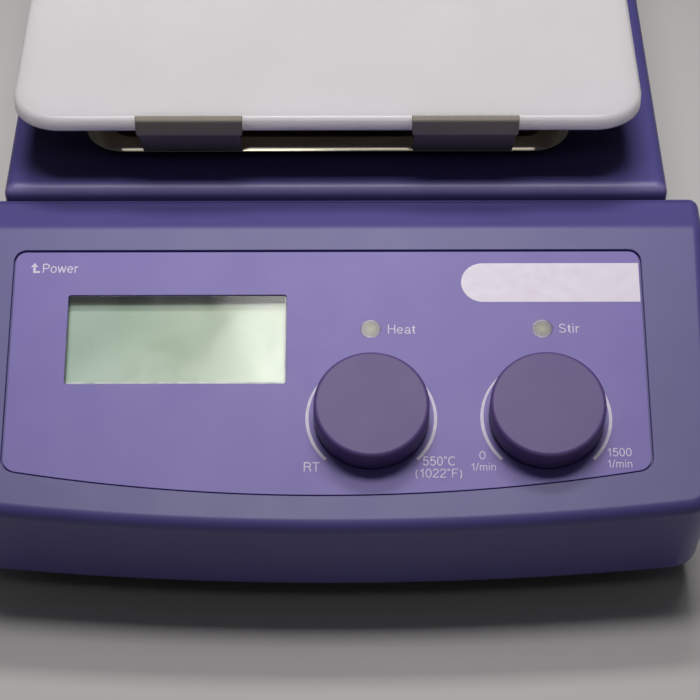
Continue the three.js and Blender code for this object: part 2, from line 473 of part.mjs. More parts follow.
  // turned about the rear wall's normal
  const back = (profile, seg) => {
    const g = new THREE.LatheGeometry(profile.map(([r, h]) => new THREE.Vector2(r, h)), seg);
    g.translate(S.x, 0, S.z);
    let s = toSolid(g);
    if (s.volume() < 0) {
      const g2 = new THREE.LatheGeometry(profile.slice().reverse().map(([r, h]) => new THREE.Vector2(r, h)), seg);
      g2.translate(S.x, 0, S.z);
      s = toSolid(g2);
    }
    return s;
  };
  node(root, 'sensor_socket', back([[0, 160], [8.2, 160], [8.2, out], [10.5, out], [10.5, out + 2], [6.4, out + 2], [6.4, 166], [0, 166]], 24), 0xa6a49c, 0.35, 0.8);
  node(root, 'rod_socket', turned([[0, 60], [8, 60], [8, DECK_Z + GAP], [11, DECK_Z + GAP], [11, DECK_Z + 2.2], [5, DECK_Z + 2.2], [5, 64], [0, 64]], 24, ROD.x, ROD.y), 0xb4b2aa, 0.35, 0.9);
}

export default hotplate;
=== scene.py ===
import math
import random

import bmesh
import bpy
from mathutils import Matrix, Vector


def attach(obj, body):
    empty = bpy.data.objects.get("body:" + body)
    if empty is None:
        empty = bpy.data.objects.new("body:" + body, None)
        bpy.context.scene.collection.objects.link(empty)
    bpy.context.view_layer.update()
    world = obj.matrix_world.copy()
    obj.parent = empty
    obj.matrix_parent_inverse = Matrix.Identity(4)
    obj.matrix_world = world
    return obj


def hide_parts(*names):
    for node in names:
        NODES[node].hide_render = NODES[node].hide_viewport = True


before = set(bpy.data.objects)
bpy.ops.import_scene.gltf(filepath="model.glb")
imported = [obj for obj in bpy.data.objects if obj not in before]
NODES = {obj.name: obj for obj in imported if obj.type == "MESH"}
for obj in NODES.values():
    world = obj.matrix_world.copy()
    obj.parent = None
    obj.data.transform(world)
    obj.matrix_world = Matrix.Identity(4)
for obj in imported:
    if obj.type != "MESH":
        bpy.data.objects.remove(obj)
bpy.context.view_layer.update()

MM = 0.001
CX = -2.4   # middle of the front panel and of the plate
SCENE = bpy.context.scene
random.seed(7)

# ------------------------------------------------------------------ camera, light, floor
PITCH, ROLL = math.radians(41.704), math.radians(-0.112)
cam_data = bpy.data.cameras.new("camera")
cam_data.sensor_width = 36.0
cam_data.lens = 124.3
camera = bpy.data.objects.new("camera", cam_data)
camera.matrix_world = (Matrix.Translation((0.004067, -0.642176, 0.525174))
                       @ Matrix.Rotation(math.pi / 2 - PITCH, 4, "X") @ Matrix.Rotation(ROLL, 4, "Z"))
SCENE.collection.objects.link(camera)
SCENE.camera = camera

SCENE.view_settings.view_transform = "Standard"
SCENE.view_settings.look = "None"
SCENE.view_settings.exposure = 0.0

world = bpy.data.worlds.new("world")
world.use_nodes = True
world.node_tree.nodes["Background"].inputs["Color"].default_value = (0.80, 0.82, 0.86, 1)
world.node_tree.nodes["Background"].inputs["Strength"].default_value = 0.05
SCENE.world = world


def area(name, size, at, to, power, color=(1, 1, 1), spread=180.0):
    data = bpy.data.lights.new(name, "AREA")
    data.shape = "RECTANGLE"
    data.size, data.size_y = size
    data.energy = power
    data.color = color
    data.spread = math.radians(spread)
    ob = bpy.data.objects.new(name, data)
    ob.location = at
    ob.rotation_euler = (Vector(to) - Vector(at)).to_track_quat("-Z", "Y").to_euler()
    SCENE.collection.objects.link(ob)
    return ob


area("soft_back", (0.46, 0.15), (-0.01, 0.165, 1.05), (-0.01, 0.08, 0.0), 0.61, (1.0, 0.97, 0.97), 60)
area("soft_mid", (0.52, 0.19), (0.0, -0.205, 1.05), (0.0, -0.02, 0.0), 0.515, (1.0, 0.97, 0.97), 55)
area("soft_front", (0.60, 0.20), (0.0, -0.70, 0.95), (0.0, -0.10, 0.08), 0.055, (1.0, 0.97, 0.96), 70)
area("bright_patch", (0.085, 0.16), (-0.03, -0.045, 1.0), (-0.03, -0.045, 0.0), 0.138, (1.0, 0.98, 0.96), 120)
area("edge_strip", (0.42, 0.07), (0.02, -0.565, 0.65), (0.0, -0.066, 0.09), 0.003, (1.0, 0.97, 0.88), 120)
area("edge_spot", (0.057, 0.06), (-0.045, -0.56, 0.645), (0.0, -0.066, 0.09), 0.011, (1.0, 0.99, 0.95), 120)

# ------------------------------------------------------------------ materials


def lin(c):
    c /= 255.0
    return c / 12.92 if c <= 0.04045 else ((c + 0.055) / 1.055) ** 2.4


def rgb(r, g, b):
    return (lin(r), lin(g), lin(b), 1.0)


class Mat:
    """A Principled material whose colour, roughness and relief come from procedural textures in the piece's own space."""

    def __init__(self, name, color, rough=0.5, metal=0.0, **sockets):
        self.m = bpy.data.materials.new(name)
        self.m.use_nodes = True
        self.nt = self.m.node_tree
        self.nt.nodes.clear()
        self.out = self.add("ShaderNodeOutputMaterial")
        self.b = self.add("ShaderNodeBsdfPrincipled")
        self.link(self.b.outputs["BSDF"], self.out.inputs["Surface"])
        self.b.inputs["Base Color"].default_value = color
        self.b.inputs["Roughness"].default_value = rough
        self.b.inputs["Metallic"].default_value = metal
        for k, v in sockets.items():
            self.b.inputs[k.replace("_", " ")].default_value = v
        self.co = self.add("ShaderNodeTexCoord").outputs["Object"]
        self.normal = None

    def add(self, kind):
        return self.nt.nodes.new(kind)

    def link(self, a, b):
        self.nt.links.new(a, b)

    def stretch(self, scale, turn=(0, 0, 0)):
        n = self.add("ShaderNodeMapping")
        n.inputs["Scale"].default_value = scale
        n.inputs["Rotation"].default_value = turn
        self.link(self.co, n.inputs["Vector"])
        return n.outputs["Vector"]

    def noise(self, scale, detail=2.0, rough=0.5, co=None, distortion=0.0):
        n = self.add("ShaderNodeTexNoise")
        n.inputs["Scale"].default_value = scale
        n.inputs["Detail"].default_value = detail
        n.inputs["Roughness"].default_value = rough
        n.inputs["Distortion"].default_value = distortion
        self.link(co or self.co, n.inputs["Vector"])
        return n.outputs["Fac"]

    def voronoi(self, scale, feature="F1", co=None, output="Distance"):
        n = self.add("ShaderNodeTexVoronoi")
        n.feature = feature
        n.inputs["Scale"].default_value = scale
        self.link(co or self.co, n.inputs["Vector"])
        return n.outputs[output]

    def wave(self, scale, axis="X", distortion=0.0, co=None, profile="SIN"):
        n = self.add("ShaderNodeTexWave")
        n.wave_type = "BANDS"
        n.bands_direction = axis
        n.wave_profile = profile
        n.inputs["Scale"].default_value = scale
        n.inputs["Distortion"].default_value = distortion
        self.link(co or self.co, n.inputs["Vector"])
        return n.outputs["Fac"]

    def span(self, value, lo, hi, to_lo, to_hi):
        n = self.add("ShaderNodeMapRange")
        n.inputs["From Min"].default_value = lo
        n.inputs["From Max"].default_value = hi
        n.inputs["To Min"].default_value = to_lo
        n.inputs["To Max"].default_value = to_hi
        self.link(value, n.inputs["Value"])
        return n.outputs["Result"]

    def math(self, op, a, b=None):
        n = self.add("ShaderNodeMath")
        n.operation = op
        for i, v in enumerate((a, b)):
            if v is None:
                continue
            if isinstance(v, (int, float)):
                n.inputs[i].default_value = v
            else:
                self.link(v, n.inputs[i])
        return n.outputs[0]

    def radius(self, axes=(1, 1, 0)):
        n = self.add("ShaderNodeVectorMath")
        n.operation = "MULTIPLY"
        n.inputs[1].default_value = axes
        self.link(self.co, n.inputs[0])
        d = self.add("ShaderNodeVectorMath")
        d.operation = "LENGTH"
        self.link(n.outputs[0], d.inputs[0])
        return d.outputs["Value"]

    def ramp(self, fac, *stops):
        n = self.add("ShaderNodeValToRGB")
        e = n.color_ramp.elements
        while len(e) < len(stops):
            e.new(0.5)
        for el, (p, c) in zip(e, stops):
            el.position = p
            el.color = c
        self.link(fac, n.inputs["Fac"])
        return n.outputs["Color"]

    def mix(self, fac, a, b, blend="MIX"):
        n = self.add("ShaderNodeMix")
        n.data_type = "RGBA"
        n.blend_type = blend
        if isinstance(fac, (int, float)):
            n.inputs[0].default_value = fac
        else:
            self.link(fac, n.inputs[0])
        for i, v in ((6, a), (7, b)):
            if isinstance(v, tuple):
                n.inputs[i].default_value = v
            else:
                self.link(v, n.inputs[i])
        return n.outputs[2]

    def color(self, socket):
        self.link(socket, self.b.inputs["Base Color"])
        return self

    def rough(self, socket):
        self.link(socket, self.b.inputs["Roughness"])
        return self

    def bump(self, height, strength, distance):
        n = self.add("ShaderNodeBump")
        n.inputs["Strength"].default_value = strength
        n.inputs["Distance"].default_value = distance
        self.link(height, n.inputs["Height"])
        if self.normal is not None:
            self.link(self.normal, n.inputs["Normal"])
        self.normal = n.outputs["Normal"]
        self.link(self.normal, self.b.inputs["Normal"])
        return self

    def tint(self, scale, a, b, lo=0.35, hi=0.65, detail=3.0, co=None):
        return self.color(self.ramp(self.noise(scale, detail, co=co), (lo, a), (hi, b)))


def paint(name, a, b, r0, r1, grain=2600.0, relief=0.00005, strength=0.3, **sockets):
    m = Mat(name, a, (r0 + r1) / 2, **sockets)
    cloud = m.ramp(m.noise(18, 3), (0.35, a), (0.65, b))
    fleck = m.span(m.noise(grain * 0.8, 1), 0.3, 0.7, 0.0, 1.0)
    dark = tuple(c * 0.86 for c in a[:3]) + (1,)
    m.color(m.mix(m.math("MULTIPLY", fleck, 0.35), cloud, dark))
    m.rough(m.span(m.noise(70, 4), 0.3, 0.7, r0, r1))
    m.bump(m.noise(grain, 2), strength, relief)
    m.bump(m.noise(210, 2), 0.10, 0.00012)
    return m


housing_paint = paint("housing_paint", rgb(82, 77, 138), rgb(86, 81, 143), 0.37, 0.40, Specular_IOR_Level=0.35)
# painted highlight: the deck's front edge fillet is painted lighter, fading with noise
where = housing_paint.add("ShaderNodeSeparateXYZ")
housing_paint.link(housing_paint.co, where.inputs[0])
fillet_highlight = housing_paint.math("MULTIPLY", housing_paint.span(where.outputs["Y"], -0.0768, -0.0742, 1.0, 0.0),
                            housing_paint.span(where.outputs["Z"], 0.0826, 0.0852, 0.0, 1.0))
fillet_highlight = housing_paint.math("MULTIPLY", fillet_highlight, housing_paint.span(housing_paint.noise(90, 4), 0.25, 0.75, 0.75, 1.0))
housing_paint.color(housing_paint.mix(fillet_highlight, housing_paint.b.inputs["Base Color"].links[0].from_socket, rgb(128, 122, 172)))
panel_film = paint("panel_film", rgb(106, 90, 172), rgb(109, 93, 175), 0.44, 0.47, grain=4200, relief=0.00002, strength=0.25)
dial_plastic = paint("dial_plastic", rgb(95, 76, 134), rgb(98, 79, 137), 0.45, 0.49, grain=3400, relief=0.00003, strength=0.3, Specular_IOR_Level=0.36)
# painted shade: the knob's colour darkens towards its base, with a noisy fade
foot = dial_plastic.add("ShaderNodeSeparateXYZ")
dial_plastic.link(dial_plastic.co, foot.inputs[0])
knob_base_shade = dial_plastic.math("MULTIPLY", dial_plastic.span(foot.outputs["Z"], 0.0012, 0.0088, 0.8, 0.0), dial_plastic.span(dial_plastic.noise(70, 3), 0.25, 0.75, 0.8, 1.0))
dial_plastic.color(dial_plastic.mix(knob_base_shade, dial_plastic.b.inputs["Base Color"].links[0].from_socket, rgb(58, 50, 76)))
tray_paint = paint("tray_paint", rgb(46, 46, 52), rgb(54, 54, 60), 0.5, 0.6, grain=1900, relief=0.00008, strength=0.4)
black_plastic = paint("black_plastic", rgb(22, 22, 24), rgb(27, 27, 29), 0.42, 0.52, grain=2000, relief=0.00005, strength=0.35)
white_plastic = paint("white_plastic", rgb(206, 202, 190), rgb(214, 210, 200), 0.4, 0.5, grain=2400, relief=0.00003, strength=0.2)
switch_plastic = paint("switch_plastic", rgb(30, 30, 33), rgb(35, 35, 38), 0.3, 0.38, grain=3000, relief=0.00002, strength=0.2)

rubber = Mat("foot_rubber", rgb(30, 30, 32), 0.85)
rubber.tint(120, rgb(26, 26, 28), rgb(38, 38, 40)).rough(rubber.span(rubber.noise(400, 3), 0.3, 0.7, 0.78, 0.92))
rubber.bump(rubber.noise(1500, 3), 0.5, 0.0001)

ceramic = Mat("glass_ceramic", rgb(228, 224, 226), 0.33, IOR=1.54, Subsurface_Weight=0.97, Subsurface_Radius=(1.0, 0.97, 0.95), Subsurface_Scale=0.016)
speck = ceramic.span(ceramic.voronoi(520), 0.0, 0.12, 1.0, 0.0)
# painted shade: the underside, over the heater, is painted dark brown
level = ceramic.add("ShaderNodeSeparateXYZ")
ceramic.link(ceramic.co, level.inputs[0])
underside_shade = ceramic.span(level.outputs["Z"], 0.1067, 0.1071, 1.0, 0.0)
ceramic.color(ceramic.mix(underside_shade, ceramic.mix(ceramic.math("MULTIPLY", speck, 0.16), ceramic.ramp(ceramic.noise(14, 3), (0.35, rgb(226, 221, 224)), (0.65, rgb(233, 229, 231))), rgb(196, 188, 190)), rgb(66, 60, 58)))
ceramic.rough(ceramic.span(ceramic.noise(45, 4), 0.3, 0.7, 0.32, 0.35))
ceramic.bump(ceramic.noise(160, 2), 0.03, 0.0002)


def metal(name, a, b, r0, r1, streak=(60, 3000, 3000), strength=0.12, **sockets):
    m = Mat(name, a, (r0 + r1) / 2, 1.0, **sockets)
    lines = m.noise(1.0, 3, co=m.stretch(streak))
    m.color(m.mix(m.span(lines, 0.35, 0.65, 0.0, 0.6), m.ramp(m.noise(22, 3), (0.35, a), (0.65, b)), tuple(c * 0.88 for c in a[:3]) + (1,)))
    m.rough(m.span(lines, 0.3, 0.7, r0, r1))
    m.bump(lines, strength, 0.00002)
    return m


stainless = metal("stainless", rgb(192, 184, 166), rgb(200, 193, 178), 0.08, 0.12)
pan_steel = metal("pan_steel", rgb(74, 66, 60), rgb(88, 80, 72), 0.25, 0.38)
clip_steel = metal("clip_steel", rgb(150, 144, 134), rgb(156, 150, 140), 0.38, 0.50, streak=(3000, 60, 60), strength=0.10)
clip_steel.b.inputs["Metallic"].default_value = 0.35
bright_metal = metal("bright_metal", rgb(200, 198, 192), rgb(210, 208, 204), 0.16, 0.28, streak=(900, 900, 900), strength=0.08)
alloy = metal("alloy", rgb(150, 151, 154), rgb(166, 166, 168), 0.35, 0.5, streak=(700, 700, 700), strength=0.2)
iron = metal("iron", rgb(92, 92, 96), rgb(106, 106, 110), 0.36, 0.5, streak=(1200, 1200, 1200), strength=0.2)
screw_metal = metal("screw_metal", rgb(168, 166, 160), rgb(180, 178, 172), 0.2, 0.32, streak=(1500, 1500, 1500), strength=0.1)

laminated = Mat("laminated_core", rgb(86, 84, 84), 0.5, 0.7)
laminated.color(laminated.ramp(laminated.wave(330, "Z"), (0.3, rgb(56, 52, 50)), (0.7, rgb(112, 108, 104))))
laminated.rough(laminated.span(laminated.noise(300, 3), 0.3, 0.7, 0.4, 0.6)).bump(laminated.wave(330, "Z"), 0.5, 0.0001)

copper = Mat("winding", rgb(150, 84, 44), 0.35, 0.85)
copper.color(copper.ramp(copper.wave(420, "Z", 1.5), (0.2, rgb(96, 46, 22)), (0.8, rgb(190, 112, 62))))
copper.rough(copper.span(copper.noise(200, 3), 0.3, 0.7, 0.28, 0.45)).bump(copper.wave(420, "Z", 1.5), 0.7, 0.0002)

board = Mat("board", rgb(28, 84, 54), 0.4, Coat_Weight=0.4, Coat_Roughness=0.2)
tracks = board.span(board.voronoi(190, "DISTANCE_TO_EDGE"), 0.03, 0.06, 1.0, 0.0)
pads = board.span(board.voronoi(170), 0.10, 0.13, 1.0, 0.0)
board.color(board.mix(pads, board.mix(tracks, board.ramp(board.noise(60, 2), (0.3, rgb(20, 70, 44)), (0.7, rgb(27, 86, 54))), rgb(48, 118, 74)), rgb(190, 176, 120)))
board.bump(tracks, 0.3, 0.00004)

fibre = Mat("ceramic_fibre", rgb(220, 212, 198), 0.95)
fibre.tint(140, rgb(206, 198, 182), rgb(230, 224, 212)).bump(fibre.noise(900, 6, 0.7), 0.9, 0.0005)

element = Mat("element_alloy", rgb(96, 82, 72), 0.5, 0.8)
element.color(element.ramp(element.noise(60, 4), (0.3, rgb(62, 52, 50)), (0.5, rgb(112, 92, 74)), (0.7, rgb(84, 78, 92))))
element.rough(element.span(element.noise(500, 3), 0.3, 0.7, 0.4, 0.6)).bump(element.wave(800, "DIAGONAL"), 0.4, 0.0001)

magnet = metal("magnet_plate", rgb(150, 150, 156), rgb(162, 162, 168), 0.18, 0.3, streak=(400, 400, 400), strength=0.1)

ribbon = Mat("cable_grey", rgb(150, 150, 154), 0.6)
ribbon.color(ribbon.ramp(ribbon.wave(125, "X"), (0.25, rgb(112, 112, 118)), (0.6, rgb(170, 170, 174))))
ribbon.rough(ribbon.span(ribbon.noise(200, 3), 0.3, 0.7, 0.5, 0.65)).bump(ribbon.wave(125, "X"), 0.8, 0.0004)

fuse_glass = Mat("fuse_glass", rgb(214, 220, 220), 0.08, IOR=1.5)
cap_zone = fuse_glass.add("ShaderNodeSeparateXYZ")
fuse_glass.link(fuse_glass.co, cap_zone.inputs[0])
off = fuse_glass.math("ABSOLUTE", fuse_glass.math("ADD", cap_zone.outputs["X"], 0.038))
caps = fuse_glass.math("GREATER_THAN", off, 0.0048)
fuse_glass.color(fuse_glass.mix(caps, fuse_glass.ramp(fuse_glass.noise(300, 2), (0.3, rgb(198, 206, 206)), (0.7, rgb(222, 228, 228))), rgb(190, 186, 176)))
fuse_glass.link(caps, fuse_glass.b.inputs["Metallic"])
fuse_glass.rough(fuse_glass.span(fuse_glass.noise(500, 2), 0.3, 0.7, 0.08, 0.2))

ink = Mat("white_ink", rgb(214, 206, 226), 0.5)
ink.tint(500, rgb(208, 200, 221), rgb(219, 211, 231)).rough(ink.span(ink.noise(700, 2), 0.3, 0.7, 0.45, 0.6))
ink.bump(ink.noise(3000, 2), 0.2, 0.00002)
plate_ink = Mat("white_plate_ink", rgb(232, 226, 238), 0.42)
plate_ink.tint(60, rgb(221, 213, 227), rgb(223, 216, 230)).rough(plate_ink.span(plate_ink.noise(300, 3), 0.3, 0.7, 0.38, 0.5))
plate_ink.bump(plate_ink.noise(3600, 2), 0.2, 0.00002)

lcd_face = Mat("lcd_face", rgb(144, 162, 142), 0.3)
cells = lcd_face.math("MULTIPLY", lcd_face.wave(300, "X"), lcd_face.wave(300, "Y"))
along_x = lcd_face.add("ShaderNodeSeparateXYZ")
lcd_face.link(lcd_face.co, along_x.inputs[0])
# painted light: the display face is lighter and bluer towards its left end, with noisy mottling
left_light_ramp = lcd_face.math("ADD", lcd_face.span(along_x.outputs["X"], -0.0745, -0.030, 0.0, 0.8), lcd_face.span(lcd_face.noise(24, 3), 0.3, 0.7, -0.1, 0.2))
lcd_face.color(lcd_face.mix(lcd_face.math("MULTIPLY", lcd_face.span(cells, 0.0, 0.4, 1.0, 0.0), 0.05),
                            lcd_face.ramp(left_light_ramp, (0.0, rgb(177, 202, 188)), (1.0, rgb(180, 197, 166))), rgb(140, 158, 134)))
lcd_face.rough(lcd_face.span(lcd_face.noise(90, 3), 0.3, 0.7, 0.26, 0.36)).bump(lcd_face.noise(4000, 1), 0.1, 0.00001)

lens_mat = Mat("lamp_lens", rgb(112, 110, 100), 0.34, Subsurface_Weight=0.25, Subsurface_Radius=(0.002, 0.002, 0.0016), Coat_Weight=0.15, Coat_Roughness=0.15)
lens_mat.b.inputs["Subsurface Scale"].default_value = 0.6
r_lens = lens_mat.radius()
lens_mat.color(lens_mat.ramp(lens_mat.span(r_lens, 0.0, 0.0029, 0.0, 1.0), (0.0, rgb(150, 152, 122)), (0.30, rgb(134, 135, 112)), (0.62, rgb(116, 114, 106)), (0.86, rgb(100, 94, 112)), (1.0, rgb(98, 86, 136))))
lens_mat.rough(lens_mat.span(lens_mat.noise(900, 2), 0.3, 0.7, 0.22, 0.34)).bump(lens_mat.noise(1200, 2), 0.15, 0.00005)

# a clear pane: what is behind it shows, and it mirrors more at a glancing angle
pane_mat = Mat("clear_pane", (1, 1, 1, 1), 0.08, IOR=1.49)
see = pane_mat.add("ShaderNodeBsdfTransparent")
see.inputs["Color"].default_value = (0.93, 0.95, 0.93, 1)
gloss = pane_mat.add("ShaderNodeBsdfGlossy")
gloss.inputs["Roughness"].default_value = 0.11
pane_mat.link(pane_mat.span(pane_mat.noise(60, 3, distortion=0.6), 0.3, 0.7, 0.09, 0.16), gloss.inputs["Roughness"])
wobble = pane_mat.add("ShaderNodeBump")
wobble.inputs["Strength"].default_value = 0.16
wobble.inputs["Distance"].default_value = 0.0006
pane_mat.link(pane_mat.noise(38, 2, distortion=0.4), wobble.inputs["Height"])
pane_mat.link(wobble.outputs["Normal"], gloss.inputs["Normal"])
fresnel = pane_mat.add("ShaderNodeFresnel")
# the same mirror share on the way in and on the way out of the pane, so it stays clear at every angle
facing = pane_mat.add("ShaderNodeNewGeometry")
pane_mat.link(pane_mat.span(facing.outputs["Backfacing"], 0.0, 1.0, 1.55, 1 / 1.55), fresnel.inputs["IOR"])
blend = pane_mat.add("ShaderNodeMixShader")
pane_mat.link(fresnel.outputs[0], blend.inputs[0])
pane_mat.link(see.outputs[0], blend.inputs[1])
pane_mat.link(gloss.outputs[0], blend.inputs[2])
pane_mat.link(blend.outputs[0], pane_mat.out.inputs["Surface"])
pane_mat.nt.nodes.remove(pane_mat.b)

floor_mat = Mat("floor", rgb(198, 197, 195), 0.6)
floor_mat.tint(3, rgb(195, 194, 192), rgb(201, 200, 198)).bump(floor_mat.noise(60, 4), 0.05, 0.0005)

# ------------------------------------------------------------------ mesh helpers, all in millimetres


def arc(cx, cy, r, a0, a1, n):
    return [(cx + r * math.cos(math.radians(a0 + (a1 - a0) * i / n)),
             cy + r * math.sin(math.radians(a0 + (a1 - a0) * i / n))) for i in range(n + 1)]


def round_rect(x0, x1, y0, y1, r, n=8):
    return (arc(x1 - r, y1 - r, r, 0, 90, n) + arc(x0 + r, y1 - r, r, 90, 180, n)
            + arc(x0 + r, y0 + r, r, 180, 270, n) + arc(x1 - r, y0 + r, r, 270, 360, n))


def circle(r, n, cx=0.0, cy=0.0):
    return [(cx + r * math.cos(2 * math.pi * i / n), cy + r * math.sin(2 * math.pi * i / n)) for i in range(n)]


def inset(pts, d):
    if abs(d) < 1e-9:
        return list(pts)
    n, out = len(pts), []
    for i in range(n):
        p0, p, p1 = Vector(pts[i - 1]), Vector(pts[i]), Vector(pts[(i + 1) % n])
        e0, e1 = (p - p0).normalized(), (p1 - p).normalized()
        m = Vector((-e0.y - e1.y, e0.x + e1.x))
        k = 2.0 / max(m.length_squared, 0.2)
        q = p + m * (k * d)
        out.append((q.x, q.y))
    return out


def rounded(pts, radii, n=6, closed=False):
    """A 2D line with its corners rounded."""
    out, m = [], len(pts)
    for i, p in enumerate(pts):
        r = radii[i] if isinstance(radii, (list, tuple)) else radii
        if (not closed and i in (0, m - 1)) or r <= 0:
            out.append(tuple(p))
            continue
        a, b, c = Vector(pts[i - 1]), Vector(p), Vector(pts[(i + 1) % m])
        u, v = (a - b).normalized(), (c - b).normalized()
        half = math.acos(max(-1, min(1, u.dot(v)))) / 2
        t = min(r / math.tan(half), 0.499 * (a - b).length, 0.499 * (c - b).length)
        rr = t * math.tan(half)
        centre = b + (u + v).normalized() * (rr / math.sin(half))
        s, e = b + u * t - centre, b + v * t - centre
        a0, a1 = math.atan2(s.y, s.x), math.atan2(e.y, e.x)
        while a1 - a0 > math.pi:
            a1 -= 2 * math.pi
        while a1 - a0 < -math.pi:
            a1 += 2 * math.pi
        for k in range(n + 1):
            w = a0 + (a1 - a0) * k / n
            out.append((centre.x + rr * math.cos(w), centre.y + rr * math.sin(w)))
    return out


def loft(rings, caps=True):
    bm = bmesh.new()
    vs = [[bm.verts.new(p) for p in r] for r in rings]
    n = len(rings[0])
    for k in range(len(rings) - 1):
        for i in range(n):
            j = (i + 1) % n
            bm.faces.new((vs[k][i], vs[k][j], vs[k + 1][j], vs[k + 1][i]))
    if caps:
        bm.faces.new(list(reversed(vs[0])))
        bm.faces.new(vs[-1])
    bmesh.ops.recalc_face_normals(bm, faces=bm.faces[:])
    return bm


def stack(pts, profile):
    """A solid of one plan outline, whose profile is (inset, height) pairs from its first cap to its last."""
    return loft([[(x, y, z) for x, y in inset(pts, d)] for d, z in profile])


def slab(pts, z0, z1, r=0.4, n=3):
    """A prism with rounded upper and lower edges."""
    prof = [(r * (1 - math.sin(math.radians(90 * k / n))), z0 + r * (1 - math.cos(math.radians(90 * k / n)))) for k in range(n + 1)]
    prof += [(r * (1 - math.cos(math.radians(90 * k / n))), z1 - r * (1 - math.sin(math.radians(90 * k / n)))) for k in range(n + 1)]
    return stack(pts, prof)


def lathe(profile, seg=64, wobble_at=None):
    """A turned solid about Z: (radius, height) pairs that start and end on the axis."""
    bm = bmesh.new()
    rings = []
    for k, (r, z) in enumerate(profile):
        if r < 1e-6:
            rings.append([bm.verts.new((0, 0, z))])
        else:
            ring = []
            for i in range(seg):
                a = 2 * math.pi * i / seg
                rr = r + (wobble_at(k, r, z, i / seg) if wobble_at else 0.0)
                ring.append(bm.verts.new((rr * math.cos(a), rr * math.sin(a), z)))
            rings.append(ring)
    for a, b in zip(rings, rings[1:]):
        if len(a) == 1 and len(b) == 1:
            continue
        for i in range(seg):
            j = (i + 1) % seg
            if len(a) == 1:
                bm.faces.new((a[0], b[j], b[i]))
            elif len(b) == 1:
                bm.faces.new((a[i], a[j], b[0]))
            else:
                bm.faces.new((a[i], a[j], b[j], b[i]))
    bmesh.ops.recalc_face_normals(bm, faces=bm.faces[:])
    return bm


def hoop(profile, seg=64):
    """A turned ring about Z: a closed line of (radius, height) pairs, none on the axis."""
    bm = bmesh.new()
    vs = [[bm.verts.new((r * math.cos(2 * math.pi * i / seg), r * math.sin(2 * math.pi * i / seg), z)) for i in range(seg)] for r, z in profile]
    m = len(vs)
    for k in range(m):
        for i in range(seg):
            j = (i + 1) % seg
            bm.faces.new((vs[k][i], vs[k][j], vs[(k + 1) % m][j], vs[(k + 1) % m][i]))
    bmesh.ops.recalc_face_normals(bm, faces=bm.faces[:])
    return bm


def rbox(x0, x1, y0, y1, z0, z1, r=0.4, n=3):
    bm = bmesh.new()
    bmesh.ops.create_cube(bm, size=1.0)
    for v in bm.verts:
        v.co = ((x0 + x1) / 2 + v.co.x * (x1 - x0), (y0 + y1) / 2 + v.co.y * (y1 - y0), (z0 + z1) / 2 + v.co.z * (z1 - z0))
    if r > 0:
        bmesh.ops.bevel(bm, geom=bm.edges[:], offset=r, offset_type="OFFSET", segments=n, profile=0.5, affect="EDGES", clamp_overlap=True)
    return bm


def move(bm, matrix):
    bmesh.ops.transform(bm, matrix=matrix, verts=bm.verts[:])
    return bm


def shift(bm, x=0.0, y=0.0, z=0.0):
    return move(bm, Matrix.Translation((x, y, z)))


def join(*parts):
    out = bmesh.new()
    for b in parts:
        me = bpy.data.meshes.new("join")
        b.to_mesh(me)
        b.free()
        out.from_mesh(me)
        bpy.data.meshes.remove(me)
    return out


def temp(bm):
    me = bpy.data.meshes.new("temp")
    bm.to_mesh(me)
    bm.free()
    ob = bpy.data.objects.new("temp", me)
    SCENE.collection.objects.link(ob)
    return ob


def evaluated(ob):
    bpy.context.view_layer.update()
    me = bpy.data.meshes.new_from_object(ob.evaluated_get(bpy.context.evaluated_depsgraph_get()))
    bm = bmesh.new()
    bm.from_mesh(me)
    bpy.data.meshes.remove(me)
    return bm


def drop(ob):
    me = ob.data
    bpy.data.objects.remove(ob)
    bpy.data.meshes.remove(me)


def boolean(bm, cutters, op="DIFFERENCE"):
    base, others = temp(bm), [temp(c) for c in cutters]
    for c in others:
        mod = base.modifiers.new("cut", "BOOLEAN")
        mod.operation, mod.object, mod.solver = op, c, "EXACT"
    out = evaluated(base)
    for o in [base, *others]:
        drop(o)
    return out


def weighted_bevel(bm, weigh, width, seg):
    """Rounds the edges to which weigh(edge) gives a share of width."""
    layer = bm.edges.layers.float.get("bevel_weight_edge") or bm.edges.layers.float.new("bevel_weight_edge")
    for e in bm.edges:
        e[layer] = weigh(e)
    ob = temp(bm)
    mod = ob.modifiers.new("round", "BEVEL")
    mod.limit_method, mod.width, mod.segments, mod.use_clamp_overlap = "WEIGHT", width, seg, False
    out = evaluated(ob)
    drop(ob)
    gone = out.edges.layers.float.get("bevel_weight_edge")
    if gone:
        out.edges.layers.float.remove(gone)
    return out


def soften(bm, width, seg=2, angle=35.0, clamp=True):
    """Rounds every edge sharper than angle."""
    edges = [e for e in bm.edges if len(e.link_faces) == 2 and e.calc_face_angle(0) > math.radians(angle)]
    bmesh.ops.bevel(bm, geom=edges, offset=width, offset_type="OFFSET", segments=seg, profile=0.5, affect="EDGES", clamp_overlap=clamp)
    return bm


def from_node(name, width=0.3, seg=2, angle=35.0):
    """A CAD node's own solid with its flat faces whole and its edges rounded, in millimetres."""
    bm = bmesh.new()
    bm.from_mesh(NODES[name].data)
    bmesh.ops.scale(bm, vec=(1000, 1000, 1000), verts=bm.verts[:])
    bmesh.ops.remove_doubles(bm, verts=bm.verts[:], dist=0.002)
    bmesh.ops.dissolve_limit(bm, angle_limit=math.radians(1.0), verts=bm.verts[:], edges=bm.edges[:])
    if width:
        soften(bm, width, seg, angle)
    bmesh.ops.recalc_face_normals(bm, faces=bm.faces[:])
    return bm


def bisect(bm, co, no):
    bmesh.ops.bisect_plane(bm, geom=bm.verts[:] + bm.edges[:] + bm.faces[:], dist=1e-5, plane_co=co, plane_no=no, clear_outer=True)
    bmesh.ops.holes_fill(bm, edges=bm.edges[:], sides=0)
    bmesh.ops.recalc_face_normals(bm, faces=bm.faces[:])


def metres(matrix):
    m = matrix.copy()
    m.translation = matrix.translation * MM
    return m


